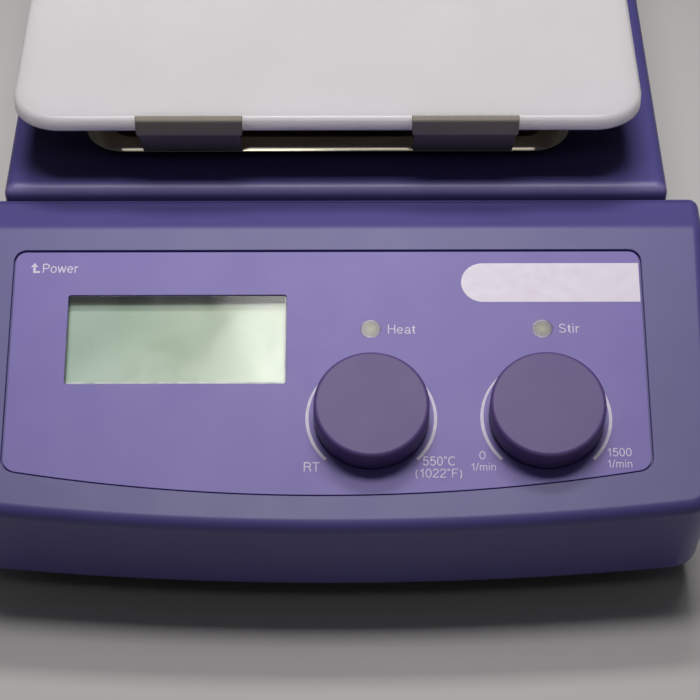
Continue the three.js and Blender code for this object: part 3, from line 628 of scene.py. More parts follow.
def piece(name, bm, mat, body="root", replaces=(), matrix=None, sharp=38.0, mats=None, pick=None):
    me = bpy.data.meshes.new(name)
    bmesh.ops.remove_doubles(bm, verts=bm.verts[:], dist=0.0004)
    bm.normal_update()
    bm.to_mesh(me)
    bm.free()
    me.transform(Matrix.Scale(MM, 4))
    me.materials.append(mat.m)
    for extra in mats or ():
        me.materials.append(extra.m)
    if pick:
        for p in me.polygons:
            p.material_index = pick(p.center / MM, p.normal)
    me.polygons.foreach_set("use_smooth", [True] * len(me.polygons))
    me.set_sharp_from_angle(angle=math.radians(sharp))
    ob = bpy.data.objects.new(name, me)
    SCENE.collection.objects.link(ob)
    if matrix is not None:
        ob.matrix_world = metres(matrix)
    mod = ob.modifiers.new("normals", "WEIGHTED_NORMAL")
    mod.keep_sharp = True
    mod.weight = 60
    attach(ob, body)
    if replaces:
        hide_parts(*([replaces] if isinstance(replaces, str) else replaces))
    return ob


# ------------------------------------------------------------------ the sloping face's own frame
SL = math.radians(21.6)
CS, SN = math.cos(SL), math.sin(SL)
BROW_Y, LEDGE_Z = -91.39, 82.5
FACE = Matrix.Translation((CX, BROW_Y, LEDGE_Z)) @ Matrix.Rotation(SL, 4, "X")


def on_face(x, along, h=0.0):
    return FACE @ Matrix.Translation((x, -along, h))


LIP_Y, LIP_Z = BROW_Y - 95.3 * CS, LEDGE_Z - 95.3 * SN


def front_y(z):
    return -169.2 + (LIP_Y + 169.2) * (z - 14) / (LIP_Z - 14)


def console_hw(z):
    return 104.5 + 3.0 * (z - 14) / (LEDGE_Z - 14)


def bowed(hw, back, front, bow, rf, rb, n=8, nb=36):
    cy, fx = front + bow, hw - rf
    fy = cy - math.sqrt((bow - rf) ** 2 - fx ** 2)
    t = math.degrees(math.atan2(fy - cy, fx))
    return (arc(fx, fy, rf, t, 0, n) + arc(hw - rb, back - rb, rb, 0, 90, n) + arc(-hw + rb, back - rb, rb, 90, 180, n)
            + arc(-fx, fy, rf, 180, 180 - t, n) + arc(0, cy, bow, 180 - t, 360 + t, nb)[1:-1])


def console_block(z0, z1, d, dz_slope, dz_ledge, n=8, nb=36):
    def ring(z):
        return [(x, y, z) for x, y in bowed(console_hw(z) - d, -76.6 - d, front_y(z) + d, 800 - d, 9 - d, 3.2 - d, n, nb)]
    bm = loft([ring(z0), ring(z1)])
    bisect(bm, (0, BROW_Y + dz_slope * SN, LEDGE_Z - dz_slope * CS), (0, -SN, CS))
    bisect(bm, (0, 0, LEDGE_Z - dz_ledge), (0, 0, 1))
    return bm


def panel_outline(grow, n=8, nb=44, low=0.0):
    hw, top, rt, rb = 90.3 + grow, -8.2 + grow, 3 + grow, 4 + grow
    R, cy = 530 + grow, -84.7 - low + 530
    fx = hw - rb
    fy = cy - math.sqrt((R - rb) ** 2 - fx ** 2)
    t = math.degrees(math.atan2(fy - cy, fx))
    return (arc(fx, fy, rb, t, 0, n) + arc(hw - rt, top - rt, rt, 0, 90, n) + arc(-hw + rt, top - rt, rt, 90, 180, n)
            + arc(-fx, fy, rb, 180, 180 - t, n) + arc(0, cy, R, 180 - t, 360 + t, nb)[1:-1])


DIALS = {"heat": 12.4, "stir": 61.5}
DIAL_ALONG, LAMP_ALONG = 61.5, 33.4
WIN = (-74.5, -11.7, -50.7, -22.25)

# ------------------------------------------------------------------ console shell
outer = console_block(14, 92, 0, 0, 0)


def console_weight(e):
    a, b = e.verts[0].co, e.verts[1].co
    ang = e.calc_face_angle(0) if len(e.link_faces) == 2 else 0
    if a.z < 14.01 and b.z < 14.01:
        return 0.25
    if a.z < 20 or b.z < 20:
        return 0.0
    if ang > 0.6:
        return 1.0
    if abs(a.y - BROW_Y) < 0.01 and abs(b.y - BROW_Y) < 0.01 and abs(a.z - LEDGE_Z) < 0.01 and abs(b.z - LEDGE_Z) < 0.01:
        return 0.30
    return 0.0


outer = weighted_bevel(outer, console_weight, 3.4, 7)
inner = console_block(8, 92, 2.8, 3.0, 2.8, n=4, nb=16)
notch = stack([(98.5, -40), (-98.5, -40)] + arc(-96.0, -76.1, 2.5, 180, 270, 6) + arc(96.0, -76.1, 2.5, 270, 360, 6), [(0, -5), (0, 100)])
seat_flare = [(0, -1.3)] + [(-0.4 * (1 - math.cos(math.radians(15 * k))), -0.36 + 0.4 * math.sin(math.radians(15 * k))) for k in range(7)] + [(-0.4, 20)]
seat = move(stack(panel_outline(0.5), seat_flare), FACE)
win_hole = move(rbox(WIN[0] - 2, WIN[1] + 2, WIN[2] - 2, WIN[3] + 2, -12, 5, 0), FACE)
holes = []
for x in DIALS.values():
    holes.append(move(stack(circle(4.4, 40), [(0, -12), (0, 5)]), on_face(x, DIAL_ALONG)))
    holes.append(move(stack(circle(3.15, 32), [(0, -12), (0, 5)]), on_face(x, LAMP_ALONG)))
shell = boolean(outer, [inner, notch, rbox(-93, 93, -90, -60, -5, 75, 0), seat, win_hole, *holes])
piece("console_shell", shell, housing_paint, replaces="console_housing")

# ------------------------------------------------------------------ front panel film
film = stack(panel_outline(0, low=0.2), [(0, -1.0), (0, -0.30), (0.03, -0.23), (0.10, -0.2)])
cuts = [stack(round_rect(WIN[0], WIN[1], WIN[2], WIN[3], 0.8, 6), [(0, -3), (0, -0.30), (-0.03, -0.23), (-0.12, -0.19), (-0.12, 3)])]
for x in DIALS.values():
    cuts.append(stack(circle(6.2, 48, x, -DIAL_ALONG), [(0, -3), (0, 3)]))
    cuts.append(stack(circle(2.99, 56, x, -LAMP_ALONG), [(0, -3), (0, 3)]))
film = boolean(film, cuts)
piece("panel_film", move(film, FACE), panel_film, replaces="panel_overlay")

# ------------------------------------------------------------------ display
x0, x1, y0, y1 = WIN
pane_pts = round_rect(x0 - 1.6, x1 + 1.6, y0 - 1.6, y1 + 1.6, 1.0, 6)
pane = stack(pane_pts, [(0.25, -3.0), (0.05, -2.9), (0, -2.75), (0, -1.55), (0.08, -1.37), (0.25, -1.3)])
plateau = slab(round_rect(x0 + 0.16, x1 - 0.16, y0 + 0.16, y1 - 0.16, 0.7, 6), -1.45, -0.34, 0.22, 3)
pane = boolean(pane, [plateau], "UNION")
piece("display_pane", move(pane, FACE), pane_mat, replaces="display_window")

# painted highlight: a thin light strip along the pane's lower and right sides, where its ground edge catches the light
rim_highlight_mat = Mat("pane_edge_highlight", rgb(196, 197, 205), 0.3)
rim_highlight_mat.tint(260, rgb(150, 150, 164), rgb(214, 216, 222), 0.3, 0.62).rough(rim_highlight_mat.span(rim_highlight_mat.noise(500, 3), 0.3, 0.7, 0.22, 0.4))
rim_highlight_mat.bump(rim_highlight_mat.noise(900, 3), 0.4, 0.00004)
rim = [(x0 + 0.5, y0 + 0.17), (x1 - 0.6, y0 + 0.17), (x1 - 0.17, y0 + 0.6), (x1 - 0.17, y1 - 0.5), (x1 - 0.42, y1 - 0.7), (x1 - 0.52, y0 + 0.9), (x1 - 0.95, y0 + 0.58), (x0 + 0.7, y0 + 0.52)]
piece("pane_rim_highlight", slab(rim, -0.40, -0.315, 0.03, 2), rim_highlight_mat, matrix=FACE)

lcd_body = rbox(x0 - 4.9, x1 + 4.5, y0 - 5.9, y1 + 5.1, -9.0, -3.3, 0.5, 3)
lcd_open = stack(round_rect(x0 - 0.1, x1 + 0.1, y0 - 0.1, y1 + 0.1, 0.6, 4), [(0, -4.5), (0, -2)])
lcd_body = boolean(lcd_body, [lcd_open])
frame_mat = paint("lcd_frame", rgb(142, 141, 152), rgb(148, 147, 158), 0.35, 0.45, grain=2500, relief=0.00003, strength=0.2)
piece("lcd_frame", move(lcd_body, FACE), frame_mat, replaces="lcd_module")
glass = slab(round_rect(x0 - 0.05, x1 + 0.05, y0 - 0.05, y1 + 0.05, 0.5, 4), -4.6, -4.35, 0.08, 2)
piece("lcd_glass", glass, lcd_face, matrix=FACE)

# ------------------------------------------------------------------ lamps and dials
for k, x in DIALS.items():
    prof = [(0, -3.4), (2.6, -3.4), (2.85, -3.15), (2.85, -0.7), (2.97, -0.6), (2.97, -0.24)] + [(2.97 - 0.04 * (1 - math.cos(math.radians(30 * i))), -0.24 + 0.04 * math.sin(math.radians(30 * i))) for i in range(1, 4)]
    dome = [(2.93 * math.cos(math.radians(15 * i)), -0.20 + 0.05 * math.sin(math.radians(15 * i))) for i in range(1, 6)] + [(0, -0.15)]
    piece(f"{k}_lens", lathe(prof + dome, 56), lens_mat, replaces=f"{k}_lamp_lens", matrix=on_face(x, LAMP_ALONG))
    body = f"{k}_dial"
    side = rounded([(13.9, 1.3), (16.2, 1.3), (16.15, 9.56), (0, 9.6)], [0, 0.35, 1.15, 0], 9)
    under = [(0, 9.0), (3.3, 9.0), (3.3, 1.6), (3.6, 1.3), (5.7, 1.3), (6.0, 1.6), (6.0, 8.2), (13.4, 8.2), (14.05, 1.6)]
    piece(f"{k}_dial_knob", lathe(under + side, 128), dial_plastic, body=body, replaces=f"{k}_knob", matrix=on_face(x, DIAL_ALONG))
    shaft = boolean(lathe(rounded([(0, -9.9), (3.0, -9.9), (3.0, 8.7), (0, 8.7)], [0, 0.3, 0.4, 0], 3), 48), [rbox(-4, 4, 2.2, 5, 1.8, 10, 0)])
    piece(f"{k}_dial_shaft", shaft, bright_metal, body=body, replaces=f"{k}_shaft", matrix=on_face(x, DIAL_ALONG))
    piece(f"{k}_dial_plunger", lathe(rounded([(0, -11.2), (2.9, -11.2), (2.9, -10.2), (0, -10.2)], [0, 0.2, 0.2, 0], 3), 40), white_plastic,
          body=f"{k}_carriage", replaces=f"{k}_plunger", matrix=on_face(x, DIAL_ALONG))
    # encoder: a rounded can with a plain bush on it, bored through for the shaft
    can = rbox(-6.5, 6.5, -6.5, 6.5, -12.2, -5.5, 0.5, 3)
    bush = shift(stack(circle(3.95, 48), [(0.2, 0.2), (0, 0.0), (0, -6.2)]), 0, 0, 0)
    can = boolean(can, [bush], "UNION")
    can = boolean(can, [stack(circle(3.08, 40), [(0, -13), (0, 2)])])
    piece(f"{k}_encoder_body", can, alloy, replaces=f"{k}_encoder", matrix=on_face(x, DIAL_ALONG))

# ------------------------------------------------------------------ marks on the panel
H_INK = -0.2
INK_T = 0.035


def flat_shape(name, outline, mat, x=0.0, along=0.0, t=INK_T):
    bm = loft([[(px, py, H_INK - 0.004) for px, py in outline], [(px, py, H_INK + t) for px, py in outline]])
    return piece(name, bm, mat, matrix=on_face(x, along), sharp=30)


def oval(cx, cy, rx, ry, a0=0.0, a1=360.0, n=20):
    m = n if a1 - a0 == 360.0 else n + 1
    return [(cx + rx * math.cos(math.radians(a0 + (a1 - a0) * i / n)), cy + ry * math.sin(math.radians(a0 + (a1 - a0) * i / n))) for i in range(m)]


# lettering drawn as strokes of one width, capitals 1 high: (width, open lines, closed lines)
W2 = 0.055
GLYPHS = {
    "P": (0.64, [[(0.09, 0), (0.09, 1)], [(0.09, 1 - W2), (0.38, 1 - W2)] + oval(0.38, 0.71, 0.205, 0.235, 90, -90, 12) + [(0.09, 0.475)]], []),
    "R": (0.70, [[(0.09, 0), (0.09, 1)], [(0.09, 1 - W2), (0.40, 1 - W2)] + oval(0.40, 0.725, 0.205, 0.22, 90, -90, 12) + [(0.09, 0.505)], [(0.40, 0.505), (0.54, 0.40), (0.60, 0.12), (0.64, 0)]], []),
    "H": (0.70, [[(0.09, 0), (0.09, 1)], [(0.61, 0), (0.61, 1)], [(0.09, 0.535), (0.61, 0.535)]], []),
    "T": (0.62, [[(0.01, 1 - W2), (0.61, 1 - W2)], [(0.31, 0), (0.31, 1)]], []),
    "F": (0.58, [[(0.09, 0), (0.09, 1)], [(0.09, 1 - W2), (0.57, 1 - W2)], [(0.09, 0.51), (0.50, 0.51)]], []),
    "C": (0.70, [oval(0.36, 0.5, 0.36 - W2, 0.51 - W2, 42, 318, 30)], []),
    "S": (0.64, [oval(0.32, 0.735, 0.225, 0.215, 15, 262, 20) + oval(0.32, 0.275, 0.25, 0.225, 82, -168, 20)], []),
    "o": (0.56, [], [oval(0.28, 0.36, 0.28 - W2, 0.37 - W2)]),
    "e": (0.56, [oval(0.28, 0.36, 0.28 - W2, 0.37 - W2, 4, 322, 26), [(W2, 0.375), (0.56 - W2, 0.375)]], []),
    "a": (0.55, [oval(0.265, 0.50, 0.18, 0.175, 168, 0, 14) + [(0.445, 0.12), (0.47, 0.03), (0.54, 0.05)]], [oval(0.24, 0.205, 0.19, 0.16)]),
    "r": (0.36, [[(0.09, 0), (0.09, 0.72)], oval(0.335, 0.44, 0.245, 0.225, 180, 90, 8) + [(0.36, 0.665)]], []),
    "t": (0.32, [[(0.15, 0.91), (0.15, 0.18)] + oval(0.27, 0.18, 0.12, 0.125, 180, 270, 6) + [(0.31, 0.055)], [(0.01, 0.675), (0.31, 0.675)]], []),
    "i": (0.20, [[(0.10, 0), (0.10, 0.72)], [(0.10, 0.87), (0.10, 1.0)]], []),
    "n": (0.55, [[(0.09, 0), (0.09, 0.72)], oval(0.275, 0.47, 0.185, 0.20, 180, 0, 14) + [(0.46, 0)]], []),
    "m": (0.84, [[(0.09, 0), (0.09, 0.72)], oval(0.255, 0.50, 0.165, 0.17, 180, 0, 14) + [(0.42, 0)], oval(0.585, 0.50, 0.165, 0.17, 180, 0, 14) + [(0.75, 0)]], []),
    "w": (0.76, [[(0.035, 0.72), (0.205, 0.03)], [(0.205, 0.03), (0.38, 0.70)], [(0.38, 0.70), (0.555, 0.03)], [(0.555, 0.03), (0.725, 0.72)]], []),
    "0": (0.56, [], [oval(0.28, 0.5, 0.275 - W2, 0.51 - W2, n=26)]),
    "1": (0.44, [[(0.30, 0), (0.30, 1)], [(0.06, 0.74), (0.17, 0.76), (0.25, 0.84), (0.30, 0.98)]], []),
    "2": (0.56, [oval(0.28, 0.715, 0.215, 0.235, 175, -25, 16) + [(0.36, 0.47), (0.17, 0.30), (0.075, 0.14), (0.06, W2)], [(0.02, W2), (0.53, W2)]], []),
    "5": (0.56, [[(0.145, 1 - W2), (0.50, 1 - W2)], [(0.16, 0.99), (0.095, 0.47)], oval(0.275, 0.335, 0.225, 0.285, 143, -160, 22)], []),
    "/": (0.30, [[(0.01, -0.02), (0.29, 1.02)]], []),
    "(": (0.28, [oval(0.40, 0.40, 0.34, 0.68, 132, 228, 14)], []),
    ")": (0.28, [oval(-0.12, 0.40, 0.34, 0.68, 48, -48, 14)], []),
    "°": (0.30, [], [oval(0.14, 0.88, 0.095, 0.095, n=16)]),
}


def stroke(pts, half, closed):
    """One stroke as an outline pair: its left and right sides."""
    left, right, m = [], [], len(pts)
    for i, p in enumerate(pts):
        a = Vector(pts[i - 1]) if i or closed else None
        c = Vector(pts[(i + 1) % m]) if i < m - 1 or closed else None
        b = Vector(p)
        u = (b - a).normalized() if a is not None else (c - b).normalized()
        v = (c - b).normalized() if c is not None else u
        t = (u + v).normalized()
        k = 1 / max(0.6, t.dot(v))
        left.append((b.x - t.y * half * k, b.y + t.x * half * k))
        right.append((b.x + t.y * half * k, b.y - t.x * half * k))
    return left, right


def words(name, text, width, cap, x, along, weight=0.105):
    """Lettering fitted to a width and a capital height, centred on x and along; weight is the stroke over the capital height."""
    bm, cursor, lines = bmesh.new(), 0.0, []
    for ch in text:
        wide, open_lines, rings = GLYPHS[ch]
        for pts, closed in [(l, False) for l in open_lines] + [(l, True) for l in rings]:
            lines.append(([(px + cursor, py) for px, py in pts], closed, 0.75 if ch == "°" else 1.0))
        cursor += wide + 0.07
    xs = [p[0] for pts, _, _ in lines for p in pts]
    lo, hi = min(xs), max(xs)
    half = weight * cap / 2
    sx = (width - 2 * half) / (hi - lo)
    for i, (pts, closed, k) in enumerate(lines):
        pts = [((px - (lo + hi) / 2) * sx, (py - 0.5) * cap) for px, py in pts]
        left, right = stroke(pts, half * k, closed)
        top = H_INK + INK_T + 0.0006 * (i % 7)
        rows = [[bm.verts.new((*l, top)), bm.verts.new((*r, top)), bm.verts.new((*r, H_INK - 0.004)), bm.verts.new((*l, H_INK - 0.004))] for l, r in zip(left, right)]
        for p, q in list(zip(rows, rows[1:])) + ([(rows[-1], rows[0])] if closed else []):
            for j in range(4):
                bm.faces.new((p[j], p[(j + 1) % 4], q[(j + 1) % 4], q[j]))
        if not closed:
            bm.faces.new(list(reversed(rows[0])))
            bm.faces.new(rows[-1])
    bmesh.ops.recalc_face_normals(bm, faces=bm.faces[:])
    return piece(name, bm, ink, matrix=on_face(x, along), sharp=30)


words("mark_power", "Power", 10.4, 3.0, -77.18, 13.47, 0.115)
words("mark_heat", "Heat", 8.0, 2.9, 21.33, 33.50, 0.105)
words("mark_stir", "Stir", 6.0, 2.9, 69.21, 33.30, 0.105)
words("mark_heat_low", "RT", 4.5, 2.8, -4.19, 76.44, 0.105)
words("mark_heat_high_c", "550°C", 9.0, 2.8, 31.16, 74.75, 0.105)
words("mark_heat_high_f", "(1022°F)", 12.9, 2.7, 31.04, 78.44, 0.10)
words("mark_stir_low", "0", 1.75, 2.5, 43.29, 73.02, 0.105)
words("mark_stir_low_unit", "1/min", 6.9, 2.3, 43.48, 76.52, 0.10)
words("mark_stir_high", "1500", 6.8, 2.55, 81.47, 72.15, 0.105)
words("mark_stir_high_unit", "1/min", 6.9, 2.3, 81.41, 75.65, 0.10)
arrow = [(-0.42, -1.6), (1.6, -1.6), (1.6, -0.95), (0.28, -0.95), (0.28, 0.35), (1.0, 0.35), (-0.07, 1.75), (-1.15, 0.35), (-0.42, 0.35)]
flat_shape("mark_power_arrow", arrow, ink, -84.75, 13.42)

for k, x in DIALS.items():
    bm = bmesh.new()
    rows = []
    for i in range(97):
        a = -45 + 270 * i / 96
        up = max(0.0, math.sin(math.radians(a)))
        w = 0.92 * (1 - 0.80 * up ** 1.3)
        c, s = math.cos(math.radians(a)), math.sin(math.radians(a))
        rows.append([bm.verts.new((r * c, r * s, z)) for r, z in ((18.05 - w / 2, H_INK - 0.004), (18.05 + w / 2, H_INK - 0.004), (18.05 + w / 2, H_INK + INK_T), (18.05 - w / 2, H_INK + INK_T))])
    for p, q in zip(rows, rows[1:]):
        for i in range(4):
            j = (i + 1) % 4
            bm.faces.new((p[i], p[j], q[j], q[i]))
    bm.faces.new(list(reversed(rows[0])))
    bm.faces.new(rows[-1])
    bmesh.ops.recalc_face_normals(bm, faces=bm.faces[:])
    piece(f"mark_{k}_scale", bm, ink, matrix=on_face(x, DIAL_ALONG), sharp=30)

pill = arc(44.87, -18.42, 6.32, 90, 270, 24) + [(90.0, -24.74), (90.0, -12.1)]
flat_shape("mark_field", pill, plate_ink, 0, 0, 0.03)

# ------------------------------------------------------------------ rear shell
BACK = 176.8


DECK = 86.5


def body_ring(z, d, n=10):
    hw = 96 + 2.2 * (z - 14) / (DECK - 14) - d
    r, f = 18 - d, 2.2
    return [(x, y, z) for x, y in arc(hw - 18 + d, BACK - 18, r, 0, 90, n) + arc(-hw + 18 - d, BACK - 18, r, 90, 180, n)
            + arc(-hw + f, -77.9 + d + f, f, 180, 270, 6) + arc(hw - f, -77.9 + d + f, f, 270, 360, 6)]


def body_outer(side=3.5, front=3.0, n=10):
    """The rear shell's outside; the fillet round the deck is tighter along the front than at the sides."""
    rings = [[(x, y, z) for x, y in inset([p[:2] for p in body_ring(z, 0)], d)] for z, d in ((14, 0.8), (14.24, 0.24), (14.8, 0))]
    wall = [p[:2] for p in body_ring(DECK, 0)]
    hw, r, f, y = 98.2 - side, 18 - side, 0.8, -77.9 + front
    flat = (arc(hw - r, BACK - 18, r, 0, 90, n) + arc(-hw + r, BACK - 18, r, 90, 180, n)
            + arc(-hw + f, y + f, f, 180, 270, 6) + arc(hw - f, y + f, f, 270, 360, 6))
    tall = [side] * (2 * n + 2) + [side + (front - side) * (3 - 2 * t) * t * t for t in (k / 6 for k in range(7))]
    tall += tall[:2 * n + 1:-1]
    for k in range(10):
        c, w = 1 - math.cos(math.radians(10 * k)), 1 - math.sin(math.radians(10 * k))
        rings.append([(x + (u - x) * c, y1 + (v - y1) * c, DECK - h * w) for (x, y1), (u, v), h in zip(wall, flat, tall)])
    return loft(rings)


outer = body_outer()
inner = loft([body_ring(10, 2.8, 5), body_ring(DECK - 2.8, 2.8, 5)])
REAR = {"switch": -72, "inlet": -38, "serial": 22, "sensor": 62}
TO_BACK = Matrix.Translation((0, BACK, 52)) @ Matrix.Rotation(math.radians(-90), 4, "X") @ Matrix.Rotation(math.pi, 4, "Z")


def back_prism(pts, y0, y1, r=0.0):
    """A prism whose outline is seen on the back wall: (x, z) pairs in the row frame."""
    prof = [(0, y0), (0, y1)] if not r else [(0, y0), (0, y1 - r), (r * 0.3, y1 - r * 0.3), (r, y1)]
    return loft([[(x, y, z) for x, z in inset(pts, d)] for d, y in prof])


cutters = [rbox(-92.7, 92.7, -90, -60, -5, 75, 0),
           shift(stack(circle(42, 96), [(0, 75), (0, 95)]), CX, 15), shift(stack(circle(8.4, 48), [(0, 75), (0, 95)]), 72, 150),
           back_prism(round_rect(-81.3, -62.7, 38.7, 65.3, 0.8, 4), 168, 186), back_prism(round_rect(-52.3, -23.7, 33.7, 66.3, 0.8, 4), 168, 186),
           back_prism(round_rect(12.7, 31.3, 46.9, 57.1, 1.4, 4), 168, 186), back_prism(circle(8.6, 48, 62, 52), 168, 186)]
for s in (-1, 1):
    cutters.append(back_prism(circle(2.9, 24, 22 + s * 12.5, 52), 168, 186))
for i in range(7):
    c = -9.2 + 4 * i
    cutters.append(back_prism(round_rect(c - 1, c + 1, 24, 38, 0.98, 6), 168, 186))
shell = boolean(outer, [inner, *cutters])
piece("rear_shell", shell, housing_paint, replaces="rear_housing")

# ------------------------------------------------------------------ bottom tray, feet, screws
piece("bottom_cover", from_node("bottom_tray", 0.35, 2), tray_paint, replaces="bottom_tray")


def cross_screw(r, h, seg=32):
    """A round-head screw with a cross recess; its head stands on z = 0 and its shank goes down."""
    head = lathe(rounded([(0, -4.0), (r * 0.5, -4.0), (r * 0.5, 0), (r, 0), (r * 0.97, h * 0.55), (r * 0.6, h), (0, h * 1.05)], [0, 0.2, 0, 0.08, 0.3, 0.5, 0], 4), seg)
    a = rbox(-r * 0.6, r * 0.6, -r * 0.13, r * 0.13, h * 0.35, h * 2, 0)
    b = rbox(-r * 0.13, r * 0.13, -r * 0.6, r * 0.6, h * 0.35, h * 2, 0)
    return boolean(head, [a, b])


FEET = {"front_left": (-80, -142), "front_right": (80, -142), "rear_left": (-76, 150), "rear_right": (76, 150)}
for k, (x, y) in FEET.items():
    prof = rounded([(0, 2.2), (4, 2.2), (4, 0), (9, 0), (10.4, 1.3), (11, 7.7), (0, 7.7)], [0, 0.4, 0.5, 1.0, 1.2, 0.5, 0], 4)
    piece(f"foot_pad_{k}", lathe(prof, 64), rubber, replaces=f"foot_{k}", matrix=Matrix.Translation((x, y, 0)))
    piece(f"foot_screw_{k}", cross_screw(2.6, 1.4), screw_metal,
          matrix=Matrix.Translation((x, y, 2.15)) @ Matrix.Rotation(math.pi, 4, "X"))
for i, (x, y) in enumerate([(-88, -110), (88, -110), (-84, 20), (84, 20), (0, -150), (0, 160)]):
    piece(f"cover_screw_{i + 1}", cross_screw(3.1, 1.6), screw_metal,
          matrix=Matrix.Translation((x, y, 7.98)) @ Matrix.Rotation(math.pi, 4, "X") @ Matrix.Rotation(0.5 * i, 4, "Z"))

# ------------------------------------------------------------------ ceramic plate, shield, heater
CY = 15.0
plate_pts = round_rect(CX - 92, CX + 92, CY - 92, CY + 92, 14.5, 14)
# lower edge eased, upper edge ground to a soft 45 degree bevel
plate_prof = [(0.5, 106.5), (0.3, 106.53), (0.14, 106.64), (0.03, 106.8), (0, 107.0), (0, 109.9), (0.02, 110.12), (0.09, 110.33), (0.21, 110.51),
              (0.69, 110.99), (0.87, 111.11), (1.08, 111.18), (1.3, 111.2)]
piece("ceramic_plate", stack(plate_pts, plate_prof), ceramic, replaces="glass_plate")

sh_pts = round_rect(CX - 72.7, CX + 72.7, CY - 81.2, CY + 81.2, 12.5, 12)
# dished sheet: flat on top, rolled down to 45 degrees, then a short flange with an eased cut edge
ROLL_R, FLANGE = 7.1, 1.3
ROLL_C = (ROLL_R + FLANGE) * math.sqrt(0.5)


def shield_skin(t):
    q, rr = math.sqrt(0.5), ROLL_R - t
    tip = (ROLL_C - (rr + FLANGE) * q, 94 - ROLL_R + (rr - FLANGE) * q)
    return [tip] + [(ROLL_C - rr * math.cos(math.radians(45 + 4.5 * k)), 94 - ROLL_R + rr * math.sin(math.radians(45 + 4.5 * k))) for k in range(11)]


def eased_tip(t, along):
    (d, z), q = shield_skin(t)[0], math.sqrt(0.5)
    return (d + along * q, z + along * q)


edge = [eased_tip(1.0, 0.22), eased_tip(0.93, 0.07), eased_tip(0.78, 0), eased_tip(0.22, 0), eased_tip(0.07, 0.07), eased_tip(0.0, 0.22)]
piece("reflector_shield", stack(sh_pts, shield_skin(1.0)[:0:-1] + edge + shield_skin(0.0)[1:]), stainless, replaces="heat_shield")

pan_pts = round_rect(CX - 65, CX + 65, CY - 73.5, CY + 73.5, 8, 8)
pan_prof = [(2.2, 95.3), (1.3, 95.6), (1.0, 96.4), (1.0, 106.0), (0.85, 106.18), (0.5, 106.2), (0.1, 106.1), (0, 105.9), (0, 96.0), (0.35, 94.9), (1.2, 94.35), (1.8, 94.3)]
piece("heater_pan_pressed", stack(pan_pts, pan_prof), pan_steel, replaces="heater_pan")

for k, a, b in (("front_left", -1, -1), ("front_right", 1, -1), ("rear_left", -1, 1), ("rear_right", 1, 1)):
    prof = rounded([(0, 86.8), (5, 86.8), (5, 92.7), (0, 92.7)], [0, 0.4, 0.4, 0], 3)
    piece(f"spacer_{k}", lathe(prof, 48), bright_metal, replaces=f"shield_post_{k}", matrix=Matrix.Translation((CX + a * 56, CY + b * 62, 0)))

# ------------------------------------------------------------------ plate clips, bent from strip
T = 1.0
f = CY - 92
lip_front = CY - 81.2
K = 0.8 * math.sqrt(0.5)
line = [(f + 0.4, 110.7 + 2 * K), (f - 0.8, 109.5 + 2 * K), (f - 0.8, 106.15), (f + 0.4, 104.71), (lip_front + 0.2, 91.75)]
line = rounded(line, [0, 0.8, 0.85, 0, 0], 7)


def strip_outline(pts, half):
    def side(d):
        out = []
        for i, p in enumerate(pts):
            a, b, c = Vector(pts[max(0, i - 1)]), Vector(p), Vector(pts[min(len(pts) - 1, i + 1)])
            t = ((b - a).normalized() if i else (c - b).normalized()) + ((c - b).normalized() if i < len(pts) - 1 else (b - a).normalized())
            t.normalize()
            k = 1.0
            if 0 < i < len(pts) - 1:
                k = 1 / max(0.5, t.dot((c - b).normalized()))
            out.append((b.x - t.y * d * k, b.y + t.x * d * k))
        return out
    return side(half), side(-half)


def clip_mesh(mirror):
    # rows across the strip: its long edges are rounded, and it narrows a little towards the hook
    a, b = strip_outline(line, T / 2)
    m = len(line)
    e = 0.28
    rows = []
    for i in range(m):
        z = line[i][1]
        hw = 15.5 - 0.75 * max(0.0, min(1.0, (106.6 - z) / 1.4))
        up, dn = Vector(a[i]), Vector(b[i])
        n = (up - dn).normalized()
        pts = []
        for k in range(5):  # +x upper edge
            w = math.radians(22.5 * k)
            o = up - n * e + n * e * math.cos(w)
            pts.append((hw - e + e * math.sin(w), o.x, o.y))
        for k in range(5):  # +x lower edge
            w = math.radians(22.5 * k)
            o = dn + n * e - n * e * math.sin(w)
            pts.append((hw - e + e * math.cos(w), o.x, o.y))
        for k in range(5):
            w = math.radians(22.5 * k)
            o = dn + n * e - n * e * math.cos(w)
            pts.append((-hw + e - e * math.sin(w), o.x, o.y))
        for k in range(5):
            w = math.radians(22.5 * k)
            o = up - n * e + n * e * math.sin(w)
            pts.append((-hw + e - e * math.cos(w), o.x, o.y))
        rows.append([(x, (2 * CY - y) if mirror else y, z) for x, y, z in pts])
    bm = loft(rows)
    bmesh.ops.remove_doubles(bm, verts=bm.verts[:], dist=0.001)
    ends = [e2 for e2 in bm.edges if len(e2.link_faces) == 2 and max(len(fc.verts) for fc in e2.link_faces) > 10]
    bmesh.ops.bevel(bm, geom=ends, offset=0.2, offset_type="OFFSET", segments=2, profile=0.5, affect="EDGES", clamp_overlap=True)
    return bm


for k, mirror in (("front", False), ("rear", True)):
    for m, x in (("left", -40), ("right", 40)):
        piece(f"clip_{k}_{m}", clip_mesh(mirror), clip_steel, replaces=f"plate_clip_{k}_{m}", matrix=Matrix.Translation((CX + x, 0, 0)))

